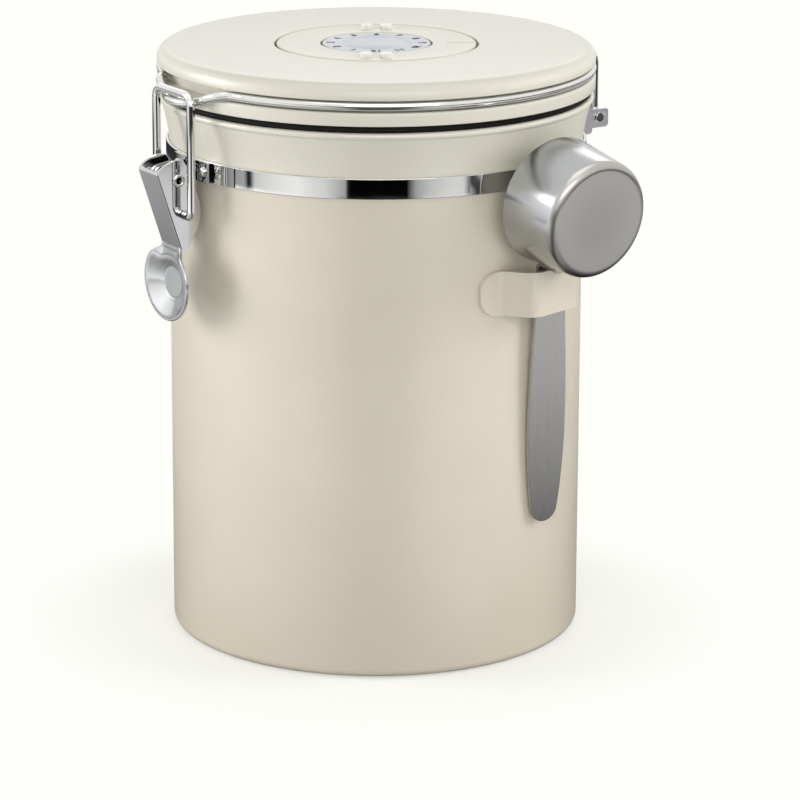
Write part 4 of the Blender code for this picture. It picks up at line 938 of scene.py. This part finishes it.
combine(date_ring, flat_mesh(index_line, INDEX_CUT, index_place))
fixed_shape(date_ring)
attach(date_ring, "dial_ring")
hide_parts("date_ring")

nub_half = (NUB_LONG - NUB_WIDE) / 2
nub_up = COVER_TOP + NUB_TALL / 2 - 0.0001
nub_line = arc(0.0, nub_half, NUB_WIDE / 2, 0, 180, 12) + arc(0.0, -nub_half, NUB_WIDE / 2, 180, 360, 12)
for number, (turn, side) in enumerate(((0.0, -1), (0.0, 1), (math.pi, -1), (math.pi, 1))):
    spot = (Matrix.Rotation(NUB_AZIMUTH + turn, 4, "Z")
            @ Matrix.Translation((side * NUB_APART, -NUB_OUT, nub_up)))
    nub = show(flat_mesh(nub_line, NUB_TALL, spot), "grip_%d" % number, [grip_coat])
    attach(softened(nub, 0.00055, 5, 60, 50), "dial_ring")

# Date disc: a fixed plastic disc in the ring's middle, printed with twelve plain numbers near
# its edge. A stem holds it to the cover.
DISC_RADIUS = 0.0156
DISC_LOW = 0.1713
DISC_TOP = 0.1727
DISC_FACE = 0.1726
DISC_ROUND = 0.0003
DISC_GROOVE = 0.17245
NUMBER_RADIUS = 0.0131
NUMBER_SIZE = 0.00324
NUMBER_PROUD = 0.00003
NUMBER_BOLD = 0.00012


def moulded(name, light, shade, roughness=0.42):
    """Moulded plastic with a fine sparked grain."""
    made, place, feed = surface(name, 0.0, IOR=1.46)
    cloud = place.noise(70.0, 2.0)
    grain_and_end_shading = place.noise(2400.0, 2.0)
    feed("Base Color", cloud.blend(light, shade))
    feed("Roughness", roughness - 0.06 + 0.08 * grain_and_end_shading + 0.06 * cloud)
    feed("Normal", grain_and_end_shading.relief(0.00002))
    return made


disc_plastic = moulded("disc_plastic", (0.62, 0.64, 0.68), (0.54, 0.56, 0.61))
print_ink = moulded("print_ink", (0.010, 0.010, 0.012), (0.020, 0.020, 0.022), 0.6)
disc_line = [(0.0, DISC_FACE), (0.0092, DISC_FACE), (0.0094, DISC_GROOVE),
             (0.0097, DISC_GROOVE), (0.0099, DISC_FACE)]
disc_line += corner(DISC_RADIUS, DISC_TOP, DISC_ROUND, 90, 0, 5)
disc_line += [(DISC_RADIUS, DISC_LOW), (0.0, DISC_LOW)]
disc = revolve("number_disc", disc_line, [disc_plastic], steps=96)
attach(disc, "lid")
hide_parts("date_disc")
for number in range(1, 13):
    words = bpy.data.curves.new("number", "FONT")
    words.body = str(number)
    words.size = NUMBER_SIZE
    words.align_x = "CENTER"
    words.align_y = "CENTER"
    words.extrude = NUMBER_PROUD
    words.offset = NUMBER_BOLD
    mesh = mesh_of(words)
    turn = NUB_AZIMUTH - math.tau * number / 12
    mesh.transform(Matrix.Rotation(turn + math.pi, 4, "Z")
                   @ Matrix.Translation((0.0, NUMBER_RADIUS, DISC_TOP)))
    mark = show(mesh, "number_%02d" % number, [print_ink])
    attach(mark, "lid")

# Dial hub and vent: pale moulded pieces under the lid, a soft flap over the vent's seat and a
# drilled steel screen in its mouth. Gas leaves past the flap and none comes back.
vent_plastic = moulded("vent_plastic", (0.72, 0.71, 0.67), (0.64, 0.63, 0.59), 0.38)
screen_steel = brushed("screen_steel", (0.58, 0.57, 0.56), (900.0, 900.0, 40.0), 0.28)
vent_looks = {"dial_hub": vent_plastic, "valve_body": vent_plastic, "valve_nut": vent_plastic,
              "valve_flap": black_silicone, "valve_screen": screen_steel}
for node, finish in vent_looks.items():
    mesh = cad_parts[node].data
    mesh.materials.clear()
    mesh.materials.append(finish)

# Scoop: a satin steel measuring cup drawn round, with a curled lip, lying on its side with its
# mouth to the wall. Its handle is a flat bar welded under the cup and dropped through the hook.
CUP_ACROSS = 0.01734
CUP_PITCH = math.radians(7.6)
CUP_YAW = math.radians(4.6)
CUP_OUT = 0.0658
CUP_UP = 0.1371
CUP_MOUTH = 0.0182
CUP_END = 0.0170
CUP_DEPTH = 0.02046
CUP_WALL = 0.0009
CUP_ROUND = 0.0026

cup_level = math.cos(CUP_PITCH)
cup_direction = Vector((-cup_level * math.cos(CUP_YAW), -cup_level * math.sin(CUP_YAW),
                        math.sin(CUP_PITCH)))
cup_place = (Matrix.Translation(Vector((CUP_OUT, CUP_ACROSS, CUP_UP)) - cup_direction * CUP_DEPTH)
             @ cup_direction.to_track_quat("Z", "Y").to_matrix().to_4x4())


def spun(name, tone, wall_tone, roughness=0.27):
    """Satin steel with the fine lines that spinning and polishing leave round the cup's axis.
    Its end face has painted shading: darker in the middle, lighter towards the rim.
    """
    made, place, feed = surface(name, 1.0)
    place = place.node("ShaderNodeMapping", {"vector_type": "TEXTURE"},
                       {"Vector": place, "Location": cup_place.translation,
                        "Rotation": cup_place.to_euler()})
    x, y, z = place.axis("X"), place.axis("Y"), place.axis("Z")
    radius = (x * x + y * y) ** 0.5
    profile = place.node("ShaderNodeCombineXYZ", {}, {0: radius * 2600.0, 1: z * 2600.0})
    rings = profile.noise(1.0, 3.0, 0.6)
    smear = place.noise(55.0, 2.0)
    side = z.between(0.0012, 0.0030)
    # Painted shading: the end face is darker in the middle and lighter towards its rim.
    end_face_shading = 0.88 + 0.12 * radius.between(0.002, 0.015)
    grain_and_end_shading = (0.95 + 0.05 * rings.between(0.2, 0.8)) * side + end_face_shading * (1.0 - side)
    feed("Base Color", grain_and_end_shading.blend((0.0, 0.0, 0.0), side.blend(tone, wall_tone)))
    feed("Roughness", roughness - 0.10 * side + 0.02 * rings * side + 0.05 * smear)
    feed("Normal", (rings * side).relief(0.000002))
    return made


spun_steel = spun("spun_steel", (0.49, 0.475, 0.455), (0.47, 0.48, 0.50))
cup_steel = spun("cup_inside_steel", (0.50, 0.49, 0.48), (0.50, 0.49, 0.48), 0.42)
cup_line = [(0.0, CUP_WALL)] + arc(CUP_END - CUP_ROUND, CUP_ROUND, CUP_ROUND - CUP_WALL, -90, 0, 8)
cup_line.append((CUP_MOUTH - CUP_WALL, CUP_DEPTH - 0.0005))
cup_line += arc(CUP_MOUTH - CUP_WALL / 2, CUP_DEPTH - CUP_WALL / 2, CUP_WALL / 2, 180, 0, 8)
cup_line += arc(CUP_END - CUP_ROUND, CUP_ROUND, CUP_ROUND, 0, -90, 12) + [(0.0120, 0.0), (0.0, 0.00012)]
cup = revolve("measuring_cup", cup_line, [spun_steel, cup_steel], second=range(0, 10), steps=128)
cup.data.transform(cup_place)
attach(cup, "scoop")
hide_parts("scoop_cup")

HANDLE_ACROSS = 0.01964
HANDLE_LEAN = math.radians(1.9)
HANDLE_SHEET = 0.0012
HANDLE_TIP = 0.0410
HANDLE_TIP_OUT = 0.0586
HANDLE_WIDE = 0.0062
HANDLE_TIP_ROUND = 0.0044
HANDLE_BEND = 0.0012
HANDLE_SHELF = 0.0075
HANDLE_UNDER = 0.0003
handle_course = ((0.08, 0.76), (0.14, 0.85), (0.21, 0.92), (0.27, 0.97), (0.33, 1.0), (0.40, 1.005),
                 (0.46, 1.0), (0.55, 0.975), (0.635, 0.94), (0.73, 0.87), (0.82, 0.81), (0.91, 0.79),
                 (1.0, 0.79))

handle_steel = brushed("handle_steel", (0.56, 0.55, 0.54), (3600.0, 3600.0, 60.0), 0.27)
wall_dip = CUP_PITCH - math.atan((CUP_MOUTH - CUP_END) / CUP_DEPTH)
shelf_dip = wall_dip - HANDLE_LEAN
cup_foot = Vector((CUP_OUT - CUP_MOUTH * math.sin(CUP_PITCH), CUP_UP - CUP_MOUTH * math.cos(CUP_PITCH)))
wall_up = Vector((math.sin(wall_dip), math.cos(wall_dip)))
bend_outer = HANDLE_BEND + HANDLE_SHEET
rise = (cup_foot - Vector((HANDLE_TIP_OUT, HANDLE_TIP))).dot(wall_up) - HANDLE_UNDER - bend_outer
handle_long = (rise - bend_outer * math.sin(shelf_dip)) / math.cos(shelf_dip)
shelf = Vector((math.cos(shelf_dip), -math.sin(shelf_dip))) * HANDLE_SHELF
handle_faces = []
for out, bend in ((0.0, bend_outer), (HANDLE_SHEET, HANDLE_BEND)):
    line = [(out, 0.0), (out, handle_long / 2)]
    line += arc(bend_outer, handle_long, bend, 180, 90 - math.degrees(shelf_dip), 12)
    handle_faces.append(line + [(line[-1][0] + shelf.x, line[-1][1] + shelf.y)])
handle_edge = handle_faces[0] + handle_faces[1][::-1]
upright = Matrix.Rotation(math.pi / 2, 4, "X")
handle = show(flat_mesh(handle_edge, 3 * HANDLE_WIDE, upright), "scoop_bar", [handle_steel])
half_handle = arc(0.0, HANDLE_TIP_ROUND, HANDLE_TIP_ROUND, -90, -8, 14)
half_handle += [(HANDLE_WIDE * wide, handle_long * up) for up, wide in handle_course]
half_handle.append((half_handle[-1][0], handle_long + bend_outer + HANDLE_SHELF))
handle_outline = half_handle + [(-t, z) for t, z in half_handle[:0:-1]]
handle_blank = flat_mesh(handle_outline, 0.04, Matrix.Rotation(math.pi / 2, 4, "Z") @ upright)
combine(handle, handle_blank, "INTERSECT")
softened(handle, 0.00028, 3, 45, 40)
handle.data.transform(Matrix.Translation((HANDLE_TIP_OUT, HANDLE_ACROSS, HANDLE_TIP))
                      @ Matrix.Rotation(HANDLE_LEAN, 4, "Y"))
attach(handle, "scoop")
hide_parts("scoop_handle")

# Floor: a plain pale sheet that keeps the object's soft shadow and runs out into the white
# background. Polished metal sees it as a glowing sheet with painted reflection tones, dark
# towards the viewer and close to the object.
CAMERA_AZIMUTH = math.radians(58.0)


def round_the_room(place, stops):
    """A painted reflection grey for each azimuth in degrees from the camera, over a stage piece round
    the object.
    """
    turned = place.axis("X").maths("ARCTAN2", place.axis("Y") * -1.0) - CAMERA_AZIMUTH
    around = place.node("ShaderNodeMath", {"operation": "WRAP"}, {0: turned, 1: math.pi, 2: -math.pi})
    stops = [((degrees + 180) / 360, grey) for degrees, grey in stops]
    return place.node("ShaderNodeValToRGB", {"stops": stops}, {0: around / math.tau + 0.5})


def rays(flow, kind):
    """1 for rays of one kind, 0 for the others."""
    return flow.node("ShaderNodeLightPath", {}, {}, "Is %s Ray" % kind)


floor_mesh = bpy.data.meshes.new("studio_floor")
work = bmesh.new()
bmesh.ops.create_grid(work, x_segments=1, y_segments=1, size=6.0)
work.to_mesh(floor_mesh)
work.free()
floor_paper, place, feed = surface("floor_paper", 0.0, Roughness=0.9)
fibre = place.noise(40.0, 2.0).blend((0.93, 0.93, 0.90), (0.95, 0.95, 0.92))
# Bounce rays see the sheet darker than the camera does, which dims the light it throws back onto the
# object.
feed("Base Color", rays(place, "Diffuse").blend(fibre, (0.72, 0.72, 0.70)))
glossy = rays(place, "Glossy")
far = (place.axis("X") ** 2 + place.axis("Y") ** 2) ** 0.5
clear = far.between(0.060, 0.115)
# Painted reflection tones that polished metal sees in the floor: dark towards the viewer and close to
# the object.
far_reflection_tone = round_the_room(place, ((-180, 0.5), (-125, 0.55), (-100, 0.9), (-60, 1.0), (-26, 0.95),
                             (-16, 0.15), (18, 0.15), (28, 0.9), (60, 1.0), (84, 0.85),
                             (105, 0.35), (180, 0.5)))
near_reflection_tone = round_the_room(place, ((-180, 0.0), (-105, 0.0), (-80, 0.5), (-20, 0.5), (-8, 0.1),
                              (12, 0.1), (24, 0.45), (44, 0.4), (56, 0.0), (180, 0.0)))
painted_reflection_tone = (far_reflection_tone * far.between(0.07, 0.43)).maths("MAXIMUM", near_reflection_tone * far.between(0.06, 0.15))
floor_glow = place.node("ShaderNodeBsdfPrincipled", {},
                   {"Base Color": (0.0, 0.0, 0.0, 1.0), "Roughness": 1.0, "IOR": 1.0,
                    "Emission Color": glossy.blend((1.0, 1.0, 0.96), painted_reflection_tone),
                    "Emission Strength": 1.0})
share = (rays(place, "Camera") * (0.45 + 0.55 * clear)).maths("MAXIMUM", glossy)
paper = Flow(place.tree, place.tree.nodes["Principled BSDF"].outputs[0])
both = place.node("ShaderNodeMixShader", {}, {0: share, 1: paper, 2: floor_glow})
place.tree.links.new(both.socket, place.tree.nodes["Material Output"].inputs["Surface"])
studio_floor = show(floor_mesh, "studio_floor", [floor_paper])
studio_floor.location = (0.0, 0.0, -0.0002)

# Studio: a pale room, soft lamps at a plain level and a low glowing screen that only polished
# metal sees, whose glow paints the bright steel's black and white reflection bars.
CAMERA_FAR = 1.14326
CAMERA_UP = 0.38294
CAMERA_PITCH = 0.2706
CAMERA_YAW = 0.0063
CAMERA_ROLL = 0.0040
CAMERA_LENS = 180.83

world = bpy.data.worlds.new("studio_air")
bpy.context.scene.world = world
world.use_nodes = True
air = Flow(world.node_tree)
bright = rays(air, "Camera").maths("MAXIMUM", rays(air, "Glossy"))
bright = bright.maths("MAXIMUM", rays(air, "Transmission"))
pale = bright.blend((0.22, 0.22, 0.22), (1.0, 1.0, 0.96))
backdrop = world.node_tree.nodes["Background"]
world.node_tree.links.new(pale.socket, backdrop.inputs["Color"])
backdrop.inputs["Strength"].default_value = 1.0


def lamp(name, azimuth, elevation, far, size, power):
    """A square soft lamp aimed at the middle of the object."""
    light = bpy.data.lights.new(name, "AREA")
    light.shape = "SQUARE"
    light.size = size
    light.energy = power
    obj = linked(name, light)
    back = Vector((math.sin(azimuth) * math.cos(elevation), -math.cos(azimuth) * math.cos(elevation),
                   math.sin(elevation)))
    obj.location = Vector((0.0, 0.0, 0.09)) + back * far
    obj.rotation_mode = "QUATERNION"
    obj.rotation_quaternion = (-back).to_track_quat("-Z", "Y")
    return obj


lamp("key_lamp", CAMERA_AZIMUTH - 1.62, 0.22, 1.5, 0.8, 16.0)
side = lamp("side_lamp", CAMERA_AZIMUTH + 1.60, 0.38, 1.6, 0.9, 15.0)
side.visible_glossy = False
lamp("front_lamp", CAMERA_AZIMUTH + 0.15, 0.30, 1.7, 1.4, 15.5)
lamp("top_lamp", CAMERA_AZIMUTH, 1.45, 1.5, 1.2, 4.0)
lamp("back_lamp", CAMERA_AZIMUTH + math.pi, 0.30, 1.7, 1.2, 6.0)

WALL_FAR = 0.45
WALL_HIGH = 0.30
WALL_LOW = 0.004

wall_turns = [math.tau * k / 128 for k in range(128)]
wall_spots = [(WALL_FAR * math.cos(turn), WALL_FAR * math.sin(turn), z)
              for z in (WALL_LOW, WALL_HIGH) for turn in wall_turns]
wall_faces = [(k, (k + 1) % 128, 128 + (k + 1) % 128, 128 + k) for k in range(128)]
wall_mesh = bpy.data.meshes.new("studio_wall")
wall_mesh.from_pydata(wall_spots, [], wall_faces)
# The screen glows: its emission paints, by azimuth and height, the black and white reflection bars that
# polished metal shows.
glowing_reflection_screen, place, feed = surface("glowing_reflection_screen", 0.0, Roughness=1.0, IOR=1.0, Emission_Strength=1.0)
foot = round_the_room(place, ((-180, 0.50), (-125, 0.45), (-96, 0.9), (-74, 1.4), (-46, 1.2),
                              (-24, 0.8), (-14, 0.05), (16, 0.05), (26, 0.8), (52, 0.9),
                              (80, 0.9), (105, 0.35), (180, 0.50)))
middle = round_the_room(place, ((-180, 0.03), (-128, 0.03), (-118, 0.6), (-110, 0.0), (-86, 0.0),
                                (-80, 0.35), (-71, 0.45), (-69, 0.02), (-67, 0.02), (-65, 0.70),
                                (-57, 0.85), (-50, 0.94), (-39, 1.0), (-26, 0.78), (-15.4, 0.42),
                                (-14, 0.0), (15.5, 0.0), (20, 0.42), (27, 0.65), (38, 0.82),
                                (45, 0.80), (48.5, 0.10), (55, 0.08), (57, 0.0), (66, 0.0),
                                (74, 0.08), (80, 0.3), (105, 0.7), (120, 0.03), (180, 0.03)))
upper = round_the_room(place, ((-180, 0.8), (-135, 0.45), (-100, 0.45), (-85, 0.9), (-50, 0.9),
                               (-30, 0.05), (20, 0.02), (45, 0.04), (75, 0.04), (100, 0.1),
                               (140, 0.8), (180, 0.8)))
height = place.axis("Z")
low_part = height.between(0.044, 0.050).blend(foot, middle)
high_part = height.between(0.15, 0.18).blend(upper, (0.95, 0.95, 0.93))
feed("Emission Color", height.between(0.072, 0.084).blend(low_part, high_part))
feed("Base Color", place.noise(9.0).blend((0.001, 0.001, 0.001), (0.002, 0.002, 0.002)))
wall = show(wall_mesh, "studio_wall", [glowing_reflection_screen])
wall.visible_camera = False
wall.visible_diffuse = False
wall.visible_shadow = False
wall.visible_transmission = False

camera = bpy.data.cameras.new("camera")
camera.lens = CAMERA_LENS
camera.sensor_width = 36.0
camera.clip_start = 0.05
eye = linked("camera", camera)
eye.matrix_world = (Matrix.Translation((CAMERA_FAR * math.sin(CAMERA_AZIMUTH),
                                        -CAMERA_FAR * math.cos(CAMERA_AZIMUTH), CAMERA_UP))
                    @ Matrix.Rotation(CAMERA_AZIMUTH - CAMERA_YAW, 4, "Z")
                    @ Matrix.Rotation(math.pi / 2 - CAMERA_PITCH, 4, "X")
                    @ Matrix.Rotation(CAMERA_ROLL, 4, "Z"))
bpy.context.scene.camera = eye
bpy.context.scene.view_settings.view_transform = "Standard"
